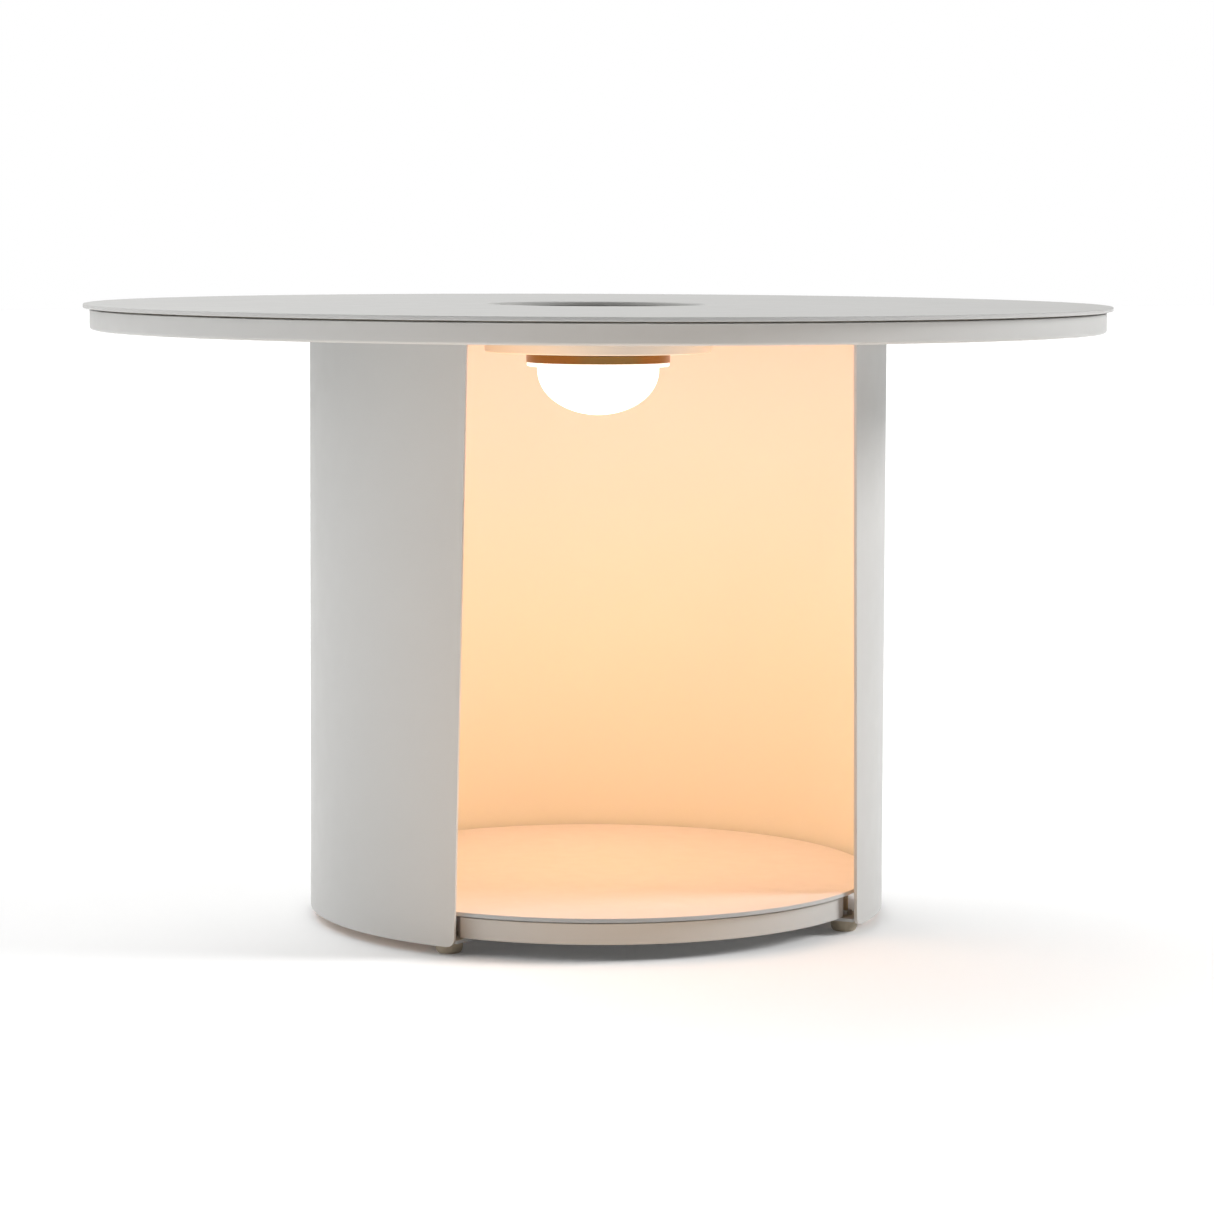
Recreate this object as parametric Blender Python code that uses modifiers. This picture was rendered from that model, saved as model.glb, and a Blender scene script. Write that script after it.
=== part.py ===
# Round dining table in painted sheet metal, with a lamp in its open pedestal.
# Units are metres and +Z is up. The floor is Z = 0 and the pedestal opens towards -Y.
# A rolled wall carries a round top on radial ribs. A drum under the top's central well
# holds the electronics, and a brass ring on the drum holds a twist-lock opal shade.

import bmesh
import bpy
from math import atan2, cos, pi, radians, sin, sqrt, tan
from mathutils import Matrix, Vector

PART_COLLECTION = "light_up_led_table"
CUTTER_COLLECTION = "cutters"

# Steps round a turn and in a rounded corner
LARGE_STEPS = 72
MEDIUM_STEPS = 36
LAMP_STEPS = 30
SMALL_STEPS = 16
TWELVE_STEPS = 12
FASTENER_STEPS = 8
NUT_SIDES = 6
CORNER_STEPS = 2

# Shared clearances
SEAT_GAP = 0.0003
CUT_OVERRUN = 0.002
MERGE_DISTANCE = 0.00001

# Tabletop
TABLE_HEIGHT = 0.748
TOP_RADIUS = 0.625
TOP_THICKNESS = 0.005
TOP_EDGE_ROUND = 0.0018
WELL_LIP_ROUND = 0.0025

# Rim frame, a folded ring under the tabletop's edge, and the strip in its reveal
REVEAL_HEIGHT = 0.002
REVEAL_SETBACK = 0.006
REVEAL_STRIP_WIDTH = 0.018
RIM_SETBACK = 0.008
RIM_HEIGHT = 0.024
RIM_SHEET = 0.003
RIM_BEND = 0.0035
RIM_TOP_FLANGE = 0.032
RIM_BOTTOM_FLANGE = 0.024

# Well in the middle of the top
WELL_RADIUS = 0.133
WELL_DEPTH = 0.030
WELL_SHEET = 0.002
WELL_STEP = 0.0005
WELL_FLANGE = 0.0095
WELL_CORNER_ROUND = 0.008

# Ribs and hub plate
RIB_COUNT = 8
RIB_THICKNESS = 0.004
RIB_INNER_GAP = 0.0013
RIB_SLOT_COUNT = 2
RIB_SLOT_LENGTH = 0.140
RIB_SLOT_HEIGHT = 0.009
HUB_THICKNESS = 0.004
HUB_SETBACK = 0.004
HUB_HOLE_CLEARANCE = 0.002

# Pedestal wall, one rolled sheet that is open at the front
WALL_RADIUS = 0.352
WALL_SHEET = 0.004
WALL_GROUND_GAP = 0.0113
WALL_CORNER_ROUND = 0.010
OPENING_HALF_ANGLE_TOP = radians(42.5)
OPENING_HALF_ANGLE_BOTTOM = radians(45.0)
WALL_CORNER_STEPS = 4

# Ceiling plate of the pedestal and the bolts that hold the top on it
CEILING_THICKNESS = 0.004
BOLT_COUNT = 8
BOLT_SETBACK = 0.033
BOLT_RADIUS = 0.004
BOLT_CLEARANCE = 0.0005
BOLT_HEAD_RADIUS = 0.007
BOLT_HEAD_HEIGHT = 0.0045
NUT_CORNER_RADIUS = 0.0075
NUT_HEIGHT = 0.0065

# Lamp housing, the drum under the ceiling plate
DRUM_RADIUS = 0.139
DRUM_HEIGHT = 0.0222
DRUM_SHEET = 0.002
DRUM_FLANGE = 0.021
DRUM_CORNER_ROUND = 0.002

# Lamp base and brass ring with its three inner lips
LAMP_BASE_RADIUS = 0.0835
LAMP_BASE_THICKNESS = 0.0018
LAMP_BASE_HOLE_RADIUS = 0.005
BRASS_RADIUS = 0.0882
BRASS_HEIGHT = 0.010
BRASS_WALL = 0.0025
BRASS_FLANGE_SHEET = 0.002
BRASS_FLANGE_INNER_RADIUS = 0.066
BRASS_EDGE_ROUND = 0.0006
LIP_COUNT = 3
LIP_REACH = 0.0025
LIP_THICKNESS = 0.0022
LIP_RISE = 0.0018
LIP_HALF_ANGLE = radians(15.0)
LIP_STOP_ANGLE = radians(4.0)
LAMP_SCREW_CIRCLE = 0.073
LAMP_SCREW_RADIUS = 0.002
LAMP_SCREW_HEAD_RADIUS = 0.0033
LAMP_SCREW_HEAD_HEIGHT = 0.002

# Opal shade
SHADE_FLANGE_RADIUS = 0.0875
SHADE_FLANGE_THICKNESS = 0.0045
SHADE_WALL = 0.003
SHADE_NECK_RADIUS = 0.0825
SHADE_NECK_HEIGHT = 0.0076
DOME_RADIUS = 0.0745
DOME_STRAIGHT = 0.0055
DOME_DROP = 0.0545
DOME_STEPS = 6
DOME_INNER_STEPS = 4
LUG_HALF_ANGLE = radians(8.0)
LUG_HEIGHT = 0.0025
LUG_CLEARANCE = 0.0006
GASKET_HEIGHT = 0.0015

# Light source
SPREADER_RADIUS = 0.064
SPREADER_THICKNESS = 0.004
BOARD_RADIUS = 0.060
BOARD_THICKNESS = 0.0016
PACKAGE_SIDE = 0.0035
PACKAGE_HEIGHT = 0.0008
PACKAGE_COUNT = 12
PACKAGE_CIRCLE = 0.045
INNER_PACKAGE_COUNT = 6
INNER_PACKAGE_CIRCLE = 0.022

# Battery, control module and leads in the drum
CELL_COUNT = 4
CELL_RADIUS = 0.0092
CELL_LENGTH = 0.065
WRAP_THICKNESS = 0.0003
WRAP_END_STEPS = 6
BATTERY_CLEARANCE = 0.015
CRADLE_FLOOR = 0.0015
CRADLE_RIM = 0.002
CRADLE_HEIGHT = 0.009
MODULE_CLEARANCE = 0.024
MODULE_WIDTH = 0.045
MODULE_LENGTH = 0.075
MODULE_HEIGHT = 0.016
MODULE_EDGE_ROUND = 0.002
LEAD_RADIUS = 0.0015
LEAD_CURVE_STEPS = 2
LEAD_EXIT = 0.012
LEAD_SAG = 0.010
LAMP_LEAD_RISE = 0.006
GROMMET_RADIUS = 0.0058
GROMMET_BORE_RADIUS = 0.0024
GROMMET_FLANGE_RADIUS = 0.009
GROMMET_FLANGE_THICKNESS = 0.001
GROMMET_CLEARANCE = 0.0004

# Push button with its housing and spring, on the drum's underside behind the lamp,
# midway between the brass ring and the drum's side
BUTTON_RADIUS = 0.006
BUTTON_PROUD = 0.003
BUTTON_CLEARANCE = 0.0008
BUTTON_TRAVEL = 0.0015
BUTTON_EDGE_ROUND = 0.0006
BUTTON_FLANGE_RADIUS = 0.0078
BUTTON_FLANGE_THICKNESS = 0.001
BUTTON_STEM_RADIUS = 0.0028
SWITCH_RADIUS = 0.0106
SWITCH_WALL = 0.002
SWITCH_HEIGHT = 0.0125
SPRING_COIL_RADIUS = 0.0048
SPRING_WIRE_RADIUS = 0.0004
SPRING_TURNS = 4
SPRING_POINTS_PER_TURN = 8

# Charging socket, on the button's circle
SOCKET_ANGLE = radians(163.4)
SOCKET_RADIUS = 0.0058
SOCKET_HEIGHT = 0.012
SOCKET_BEZEL_RADIUS = 0.0078
SOCKET_BEZEL_THICKNESS = 0.0012
SOCKET_BORE_RADIUS = 0.0035
SOCKET_BORE_DEPTH = 0.009
SOCKET_CLEARANCE = 0.0004

# Base tray, inside the wall
TRAY_GAP = 0.009
TRAY_HEIGHT = 0.051
TRAY_THICKNESS = 0.005
TRAY_EDGE_ROUND = 0.0015
SKIRT_SETBACK = 0.006
SKIRT_HEIGHT = 0.0245
SKIRT_SHEET = 0.003
SKIRT_TOP_FLANGE = 0.018
SKIRT_RETURN = 0.020
SKIRT_HALF_ANGLE = radians(45.4)
SKIRT_STEPS = 18

# Foot brackets and levelling feet
FOOT_SETBACK = 0.022
FOOT_ANGLE = radians(48.8)
BRACKET_WIDTH = 0.050
BRACKET_SHEET = 0.004
BRACKET_DEPTH = 0.046
BRACKET_TOP_FLANGE = 0.028
PAD_RADIUS = 0.016
PAD_BASE_RADIUS = 0.0115
PAD_HEIGHT = 0.0147
PAD_SHOULDER_HEIGHT = 0.009
PAD_SIDE_STEPS = 3
PAD_TOP_ROUND = 0.0012
STUD_RADIUS = 0.005
STUD_CLEARANCE = 0.0005
STUD_TOP = 0.042
LOCK_NUT_CORNER_RADIUS = 0.0098
LOCK_NUT_HEIGHT = 0.006

# Levels that follow from the sizes above, from the top down
TOP_UNDERSIDE = TABLE_HEIGHT - TOP_THICKNESS
RIM_TOP = TOP_UNDERSIDE - REVEAL_HEIGHT
RIM_BOTTOM = RIM_TOP - RIM_HEIGHT
RIM_RADIUS = TOP_RADIUS - RIM_SETBACK
HUB_TOP = RIM_BOTTOM + RIM_SHEET
RIB_BOTTOM = HUB_TOP + SEAT_GAP
HUB_BOTTOM = HUB_TOP - HUB_THICKNESS
CEILING_TOP = HUB_BOTTOM - SEAT_GAP
CEILING_BOTTOM = CEILING_TOP - CEILING_THICKNESS
WALL_INNER_RADIUS = WALL_RADIUS - WALL_SHEET
CEILING_RADIUS = WALL_INNER_RADIUS - SEAT_GAP
WELL_OUTER_RADIUS = WELL_RADIUS + WELL_STEP + WELL_SHEET
HUB_HOLE_RADIUS = WELL_OUTER_RADIUS + HUB_HOLE_CLEARANCE
DRUM_TOP = CEILING_BOTTOM - SEAT_GAP
DRUM_BOTTOM = DRUM_TOP - DRUM_HEIGHT
DRUM_INNER_RADIUS = DRUM_RADIUS - DRUM_SHEET
DRUM_FLOOR = DRUM_BOTTOM + DRUM_SHEET
BAY_FLOOR = DRUM_FLOOR + SEAT_GAP
CRADLE_HALF_WIDTH = CELL_RADIUS * CELL_COUNT + WRAP_THICKNESS + SEAT_GAP + CRADLE_RIM
CRADLE_HALF_LENGTH = CELL_LENGTH / 2 + SEAT_GAP + CRADLE_RIM
CRADLE_REACH = sqrt(DRUM_INNER_RADIUS ** 2 - CRADLE_HALF_LENGTH ** 2) - BATTERY_CLEARANCE
BATTERY_X = CRADLE_HALF_WIDTH - CRADLE_REACH
MODULE_REACH = sqrt(DRUM_INNER_RADIUS ** 2 - (MODULE_LENGTH / 2) ** 2) - MODULE_CLEARANCE
MODULE_X = MODULE_REACH - MODULE_WIDTH / 2
BOLT_CIRCLE = CEILING_RADIUS - BOLT_SETBACK
LAMP_BASE_TOP = DRUM_BOTTOM - SEAT_GAP
LAMP_BASE_BOTTOM = LAMP_BASE_TOP - LAMP_BASE_THICKNESS
BRASS_TOP = LAMP_BASE_BOTTOM - SEAT_GAP
BRASS_BOTTOM = BRASS_TOP - BRASS_HEIGHT
BRASS_INNER_RADIUS = BRASS_RADIUS - BRASS_WALL
BUTTON_Y = (BRASS_RADIUS + DRUM_INNER_RADIUS) / 2
SOCKET_X = BUTTON_Y * sin(SOCKET_ANGLE)
SOCKET_Y = -BUTTON_Y * cos(SOCKET_ANGLE)
LIP_BOTTOM = BRASS_BOTTOM + LIP_RISE
LIP_TOP = LIP_BOTTOM + LIP_THICKNESS
SHADE_FLANGE_TOP = BRASS_BOTTOM - SEAT_GAP
SHADE_FLANGE_BOTTOM = SHADE_FLANGE_TOP - SHADE_FLANGE_THICKNESS
DOME_SHOULDER = SHADE_FLANGE_BOTTOM - DOME_STRAIGHT
SPREADER_BOTTOM = BRASS_TOP - SPREADER_THICKNESS
BOARD_TOP = SPREADER_BOTTOM - SEAT_GAP
BOARD_BOTTOM = BOARD_TOP - BOARD_THICKNESS
TRAY_RADIUS = WALL_INNER_RADIUS - TRAY_GAP
TRAY_UNDERSIDE = TRAY_HEIGHT - TRAY_THICKNESS
SKIRT_TOP = TRAY_UNDERSIDE - REVEAL_HEIGHT
SKIRT_BOTTOM = SKIRT_TOP - SKIRT_HEIGHT
SKIRT_RADIUS = TRAY_RADIUS - SKIRT_SETBACK
FOOT_CIRCLE = WALL_INNER_RADIUS - FOOT_SETBACK
BRACKET_BOTTOM = PAD_HEIGHT + SEAT_GAP
BRACKET_TOP = TRAY_UNDERSIDE - SEAT_GAP

# Finishes: colour, roughness, metallic
PAINT = ((0.66, 0.65, 0.62), 0.45, 0.0)
DARK_RUBBER = ((0.05, 0.05, 0.05), 0.80, 0.0)
BRASS = ((0.60, 0.36, 0.12), 0.30, 1.0)
ZINC = ((0.62, 0.63, 0.65), 0.35, 1.0)
ALUMINIUM = ((0.75, 0.75, 0.77), 0.40, 1.0)
OPAL = ((0.95, 0.93, 0.88), 0.25, 0.0)
SILICONE = ((0.80, 0.80, 0.78), 0.60, 0.0)
BOARD_WHITE = ((0.88, 0.88, 0.86), 0.50, 0.0)
CELL_WRAP = ((0.10, 0.22, 0.45), 0.35, 0.0)
BLACK_PLASTIC = ((0.03, 0.03, 0.03), 0.50, 0.0)
LEAD_GREY = ((0.20, 0.20, 0.20), 0.55, 0.0)
SPRING_STEEL = ((0.55, 0.56, 0.58), 0.30, 1.0)
GLIDE_BEIGE = ((0.48, 0.42, 0.33), 0.55, 0.0)

# The four feet: name and angle from the front, positive towards +X
FEET = (
    ("front_left", -FOOT_ANGLE),
    ("front_right", FOOT_ANGLE),
    ("back_right", pi - FOOT_ANGLE),
    ("back_left", FOOT_ANGLE - pi),
)


def clear_scene():
    for thing in list(bpy.data.objects):
        bpy.data.objects.remove(thing, do_unlink=True)


def collection(name):
    found = bpy.data.collections.get(name)
    if found is None:
        found = bpy.data.collections.new(name)
        bpy.context.scene.collection.children.link(found)
    return found


def add_object(name, data, home=PART_COLLECTION):
    thing = bpy.data.objects.new(name, data)
    collection(home).objects.link(thing)
    return thing


def paint(thing, finish):
    colour, roughness, metallic = finish
    material = bpy.data.materials.new(thing.name)
    material.use_nodes = True
    shader = material.node_tree.nodes["Principled BSDF"]
    shader.inputs["Base Color"].default_value = (*colour, 1.0)
    shader.inputs["Roughness"].default_value = roughness
    shader.inputs["Metallic"].default_value = metallic
    material.diffuse_color = (*colour, 1.0)
    thing.data.materials.append(material)
    return thing


def mesh_from(name, build):
    """A mesh that the given function fills through bmesh."""
    mesh = bpy.data.meshes.new(name)
    work = bmesh.new()
    build(work)
    work.to_mesh(mesh)
    work.free()
    mesh.shade_smooth()
    mesh.set_sharp_from_angle(angle=radians(30))
    return mesh


def arc(centre, radius, start, end, steps):
    """Points on an arc in a profile's plane, both ends included."""
    angles = [start + (end - start) * step / steps for step in range(steps + 1)]
    return [(centre[0] + radius * cos(a), centre[1] + radius * sin(a)) for a in angles]


def outer_corners(radius, top, bottom, rounding, steps):
    """The outer side of a turned profile, top to bottom, with its two corners rounded."""
    upper = arc((radius - rounding, top - rounding), rounding, pi / 2, 0, steps)
    lower = arc((radius - rounding, bottom + rounding), rounding, 0, -pi / 2, steps)
    return upper + lower


def turned(name, profile, steps, closed=True, home=PART_COLLECTION):
    """A solid of revolution about Z. The profile runs down its outer side."""
    edges = [(index, index + 1) for index in range(len(profile) - 1)]
    if closed:
        edges.append((len(profile) - 1, 0))
    mesh = bpy.data.meshes.new(name)
    mesh.from_pydata([(radius, 0, height) for radius, height in profile], edges, [])
    thing = add_object(name, mesh, home)
    screw = thing.modifiers.new("turn", "SCREW")
    screw.steps = steps
    screw.render_steps = steps
    screw.use_merge_vertices = True
    screw.merge_threshold = MERGE_DISTANCE
    screw.use_smooth_shade = True
    return thing


def ring_profile(inner, outer, bottom, top):
    return [(outer, top), (outer, bottom), (inner, bottom), (inner, top)]


def swept(name, profile, start, end, steps, home=PART_COLLECTION):
    """A closed profile swept about Z between two angles from the front, with closed ends."""
    def build(work):
        corners = [work.verts.new((radius * sin(start), -radius * cos(start), height))
                   for radius, height in profile]
        face = work.faces.new(corners)
        bmesh.ops.spin(work, geom=[face], cent=(0, 0, 0), axis=(0, 0, 1),
                       angle=end - start, steps=steps, use_merge=False)
        bmesh.ops.recalc_face_normals(work, faces=work.faces)
    return add_object(name, mesh_from(name, build), home)


def posts(name, radius, bottom, top, places, steps, home=PART_COLLECTION):
    """Upright cylinders of one size, one at each place."""
    def build(work):
        for x, y in places:
            centre = Matrix.Translation((x, y, (bottom + top) / 2))
            bmesh.ops.create_cone(work, cap_ends=True, segments=steps, radius1=radius,
                                  radius2=radius, depth=top - bottom, matrix=centre)
    return add_object(name, mesh_from(name, build), home)


def box(name, size, centre, home=PART_COLLECTION):
    def build(work):
        frame = Matrix.Translation(centre) @ Matrix.Diagonal((*size, 1))
        bmesh.ops.create_cube(work, size=1, matrix=frame)
    return add_object(name, mesh_from(name, build), home)


def boolean(thing, cutter, operation="DIFFERENCE"):
    modifier = thing.modifiers.new(operation.lower(), "BOOLEAN")
    modifier.operation = operation
    modifier.solver = "EXACT"
    modifier.object = cutter
    cutter.hide_render = True
    cutter.display_type = "WIRE"
    return thing


def drill(thing, radius, bottom, top, places, steps=FASTENER_STEPS):
    """Round holes through a piece, run past both of its faces."""
    cutter = posts(thing.name + "_drill", radius, bottom - CUT_OVERRUN, top + CUT_OVERRUN,
                   places, steps, CUTTER_COLLECTION)
    return boolean(thing, cutter)


def round_edges(thing, width, segments=CORNER_STEPS):
    bevel = thing.modifiers.new("round", "BEVEL")
    bevel.width = width
    bevel.segments = segments
    bevel.limit_method = "ANGLE"
    return thing


def on_circle(radius, angle):
    """A place at an angle from the front, positive towards +X."""
    return (radius * sin(angle), -radius * cos(angle))


def around(count, radius, offset=0):
    return [on_circle(radius, offset + 2 * pi * index / count) for index in range(count)]


def fillet(before, corner, after, radius, steps):
    """The points of an arc that rounds a corner of an outline."""
    corner = Vector(corner)
    along_in = (Vector(before) - corner).normalized()
    along_out = (Vector(after) - corner).normalized()
    half = along_in.angle(along_out) / 2
    centre = corner + (along_in + along_out).normalized() * radius / sin(half)
    first = corner + along_in * radius / tan(half) - centre
    last = corner + along_out * radius / tan(half) - centre
    start = atan2(first.y, first.x)
    sweep = atan2(first.cross(last), first.dot(last))
    return arc(centre, radius, start, start + sweep, steps)


def flat_plate(name, outlines, thickness):
    """A plate cut to one or more outlines in the XY plane, as a welded mesh."""
    curve = bpy.data.curves.new(name, "CURVE")
    curve.dimensions = "2D"
    curve.fill_mode = "BOTH"
    curve.extrude = thickness / 2
    for outline in outlines:
        spline = curve.splines.new("POLY")
        spline.points.add(len(outline) - 1)
        for point, place in zip(spline.points, outline):
            point.co = (place[0], place[1], 0, 1)
        spline.use_cyclic_u = True
    guide = add_object(name + "_outline", curve, CUTTER_COLLECTION)
    mesh = welded_mesh(guide, name)
    bpy.data.objects.remove(guide, do_unlink=True)
    return mesh


def welded_mesh(curve_object, name):
    bpy.context.view_layer.update()
    evaluated = curve_object.evaluated_get(bpy.context.evaluated_depsgraph_get())
    mesh = bpy.data.meshes.new_from_object(evaluated)
    mesh.name = name
    mesh.materials.clear()
    work = bmesh.new()
    work.from_mesh(mesh)
    bmesh.ops.remove_doubles(work, verts=work.verts, dist=MERGE_DISTANCE)
    bmesh.ops.recalc_face_normals(work, faces=work.faces)
    work.to_mesh(mesh)
    work.free()
    return mesh


def roll_sheet(mesh, radius, columns, column_angle):
    """Bends a flat blank into a cylinder about Z. X runs round from the back, Y becomes height."""
    work = bmesh.new()
    work.from_mesh(mesh)
    bmesh.ops.dissolve_limit(work, angle_limit=radians(1), verts=work.verts, edges=work.edges)
    for column in range(-columns, columns + 1):
        geometry = list(work.verts) + list(work.edges) + list(work.faces)
        bmesh.ops.bisect_plane(work, geom=geometry, dist=MERGE_DISTANCE,
                               plane_co=(column * column_angle * radius, 0, 0), plane_no=(1, 0, 0))
    for corner in work.verts:
        across, height, depth = corner.co
        reach = radius + depth
        angle = across / radius
        corner.co = (-reach * sin(angle), reach * cos(angle), height)
    work.to_mesh(mesh)
    work.free()
    mesh.shade_smooth()
    mesh.set_sharp_from_angle(angle=radians(30))


def smooth_route(places, steps):
    """Points on a smooth curve through the given places, with straight first and last stretches."""
    route = [Vector(place) for place in places]
    points = [route[0]]
    for before, start, end, after in zip(route, route[1:], route[2:], route[3:]):
        for step in range(steps):
            t = step / steps
            spread = 2 * start + (end - before) * t
            spread += (2 * before - 5 * start + 4 * end - after) * t ** 2
            spread += (3 * start - before - 3 * end + after) * t ** 3
            points.append(spread / 2)
    return points + route[-2:]


def tube(name, route, radius, resolution):
    """A round wire along a list of points, with closed ends."""
    curve = bpy.data.curves.new(name, "CURVE")
    curve.dimensions = "3D"
    curve.bevel_depth = radius
    curve.bevel_resolution = resolution
    curve.use_fill_caps = True
    spline = curve.splines.new("POLY")
    spline.points.add(len(route) - 1)
    for point, place in zip(spline.points, route):
        point.co = (*place, 1)
    return add_object(name, curve)


def make_tabletop():
    outline = outer_corners(TOP_RADIUS, TABLE_HEIGHT, TOP_UNDERSIDE, TOP_EDGE_ROUND, 1)
    lip_centre = (WELL_RADIUS + WELL_LIP_ROUND, TABLE_HEIGHT - WELL_LIP_ROUND)
    lip = arc(lip_centre, WELL_LIP_ROUND, pi, pi / 2, CORNER_STEPS)
    top = turned("tabletop", outline + [(WELL_RADIUS, TOP_UNDERSIDE)] + lip, LARGE_STEPS)
    return paint(top, PAINT)


def make_rim():
    strip_outer = RIM_RADIUS - REVEAL_SETBACK
    strip_profile = ring_profile(strip_outer - REVEAL_STRIP_WIDTH, strip_outer,
                                 RIM_TOP + SEAT_GAP, TOP_UNDERSIDE - SEAT_GAP)
    paint(turned("edge_reveal_strip", strip_profile, MEDIUM_STEPS), DARK_RUBBER)
    bottom_edge = RIM_RADIUS - RIM_BOTTOM_FLANGE
    top_edge = RIM_RADIUS - RIM_TOP_FLANGE
    inside = RIM_RADIUS - RIM_SHEET
    section = [(RIM_RADIUS, RIM_TOP)]
    bend_centre = (RIM_RADIUS - RIM_BEND, RIM_BOTTOM + RIM_BEND)
    section += arc(bend_centre, RIM_BEND, 0, -pi / 2, CORNER_STEPS)
    section += [(bottom_edge, RIM_BOTTOM), (bottom_edge, RIM_BOTTOM + RIM_SHEET)]
    section += [(inside, RIM_BOTTOM + RIM_SHEET), (inside, RIM_TOP - RIM_SHEET)]
    section += [(top_edge, RIM_TOP - RIM_SHEET), (top_edge, RIM_TOP)]
    return paint(turned("rim_frame", section, LARGE_STEPS), PAINT)


def rib_slot(start, length, middle):
    """A slot with round ends in a rib's outline plane."""
    end_radius = RIB_SLOT_HEIGHT / 2
    left = arc((start + end_radius, middle), end_radius, pi / 2, 3 * pi / 2, CORNER_STEPS + 1)
    right = arc((start + length - end_radius, middle), end_radius, -pi / 2, pi / 2, CORNER_STEPS + 1)
    return left + right


def make_ribs():
    """Upright plates on edge under the top. They share one mesh, so painting one paints all."""
    inner = WELL_OUTER_RADIUS + WELL_FLANGE + RIB_INNER_GAP
    outer = (RIM_RADIUS - RIM_SHEET) * cos(pi / LARGE_STEPS) - SEAT_GAP
    step = (RIM_RADIUS - RIM_TOP_FLANGE) * cos(pi / LARGE_STEPS) - SEAT_GAP
    top = TOP_UNDERSIDE - SEAT_GAP
    low_top = RIM_TOP - RIM_SHEET - SEAT_GAP
    outline = [(inner, RIB_BOTTOM), (outer, RIB_BOTTOM), (outer, low_top),
               (step, low_top), (step, top), (inner, top)]
    spare = step - inner - RIB_SLOT_COUNT * RIB_SLOT_LENGTH
    pitch = RIB_SLOT_LENGTH + spare / (RIB_SLOT_COUNT + 1)
    first = inner + spare / (RIB_SLOT_COUNT + 1)
    middle = (RIB_BOTTOM + top) / 2
    slots = [rib_slot(first + pitch * index, RIB_SLOT_LENGTH, middle)
             for index in range(RIB_SLOT_COUNT)]
    plate = flat_plate("rib", [outline] + slots, RIB_THICKNESS)
    ribs = [add_object("rib_%d" % (index + 1), plate) for index in range(RIB_COUNT)]
    for index, rib in enumerate(ribs):
        rib.rotation_euler = (pi / 2, 0, 2 * pi * index / RIB_COUNT)
    return paint(ribs[0], PAINT)


def make_hub_plate():
    """The ring that the ribs stand on, with a weld nut over each bolt hole."""
    hub = turned("hub_plate", ring_profile(HUB_HOLE_RADIUS, CEILING_RADIUS - HUB_SETBACK,
                                           HUB_BOTTOM, HUB_TOP), LARGE_STEPS)
    nuts = posts("hub_weld_nuts", NUT_CORNER_RADIUS, HUB_TOP - HUB_THICKNESS / 2,
                 HUB_TOP + NUT_HEIGHT, bolt_places(), NUT_SIDES, CUTTER_COLLECTION)
    boolean(hub, nuts, "UNION")
    drill(hub, BOLT_RADIUS + SEAT_GAP, HUB_BOTTOM, HUB_TOP + NUT_HEIGHT, bolt_places())
    return paint(hub, PAINT)


def make_well_pan():
    outer = WELL_OUTER_RADIUS
    inner = WELL_RADIUS + WELL_STEP
    flange_top = TOP_UNDERSIDE - SEAT_GAP
    floor = TABLE_HEIGHT - WELL_DEPTH
    outer_round = WELL_CORNER_ROUND + WELL_SHEET
    inner_corner = arc((inner - WELL_CORNER_ROUND, floor + WELL_CORNER_ROUND), WELL_CORNER_ROUND,
                       -pi / 2, 0, CORNER_STEPS)
    outer_corner = arc((inner - WELL_CORNER_ROUND, floor + WELL_CORNER_ROUND), outer_round,
                       0, -pi / 2, CORNER_STEPS)
    profile = [(0, floor)] + inner_corner
    profile += [(inner, flange_top), (outer + WELL_FLANGE, flange_top)]
    profile += [(outer + WELL_FLANGE, flange_top - WELL_SHEET), (outer, flange_top - WELL_SHEET)]
    profile += outer_corner + [(0, floor - WELL_SHEET)]
    return paint(turned("well_pan", profile, MEDIUM_STEPS, closed=False), PAINT)


def bolt_places():
    """Bolts stand midway between the ribs."""
    return around(BOLT_COUNT, BOLT_CIRCLE, pi / RIB_COUNT)


def screws(name, places, level, head_radius, head_height, shank_radius, shank_length):
    """Round-headed screws that point up, each with its head's flat face at the level."""
    profile = [(0, shank_length), (shank_radius, shank_length), (shank_radius, 0), (head_radius, 0),
               (head_radius - head_height / 4, -head_height), (0, -head_height)]
    for number, (x, y) in enumerate(places, 1):
        screw = turned("%s_%d" % (name, number), profile, FASTENER_STEPS, closed=False)
        screw.location = (x, y, level)
        paint(screw, ZINC)


def make_bolts():
    level = CEILING_BOTTOM - SEAT_GAP
    screws("pedestal_bolt", bolt_places(), level, BOLT_HEAD_RADIUS, BOLT_HEAD_HEIGHT,
           BOLT_RADIUS, HUB_TOP + NUT_HEIGHT - level)


def make_pedestal_wall():
    neutral = WALL_RADIUS - WALL_SHEET / 2
    top_reach = neutral * (pi - OPENING_HALF_ANGLE_TOP)
    bottom_reach = neutral * (pi - OPENING_HALF_ANGLE_BOTTOM)
    corners = [(-bottom_reach, WALL_GROUND_GAP), (bottom_reach, WALL_GROUND_GAP),
               (top_reach, CEILING_TOP), (-top_reach, CEILING_TOP)]
    outline = fillet(corners[3], corners[0], corners[1], WALL_CORNER_ROUND, WALL_CORNER_STEPS)
    outline += fillet(corners[0], corners[1], corners[2], WALL_CORNER_ROUND, WALL_CORNER_STEPS)
    outline += corners[2:]
    blank = flat_plate("pedestal_wall", [outline], WALL_SHEET)
    column_angle = 2 * pi / LARGE_STEPS
    columns = int((pi - OPENING_HALF_ANGLE_TOP) / column_angle)
    roll_sheet(blank, neutral, columns, column_angle)
    return paint(add_object("pedestal_wall", blank), PAINT)


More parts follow.
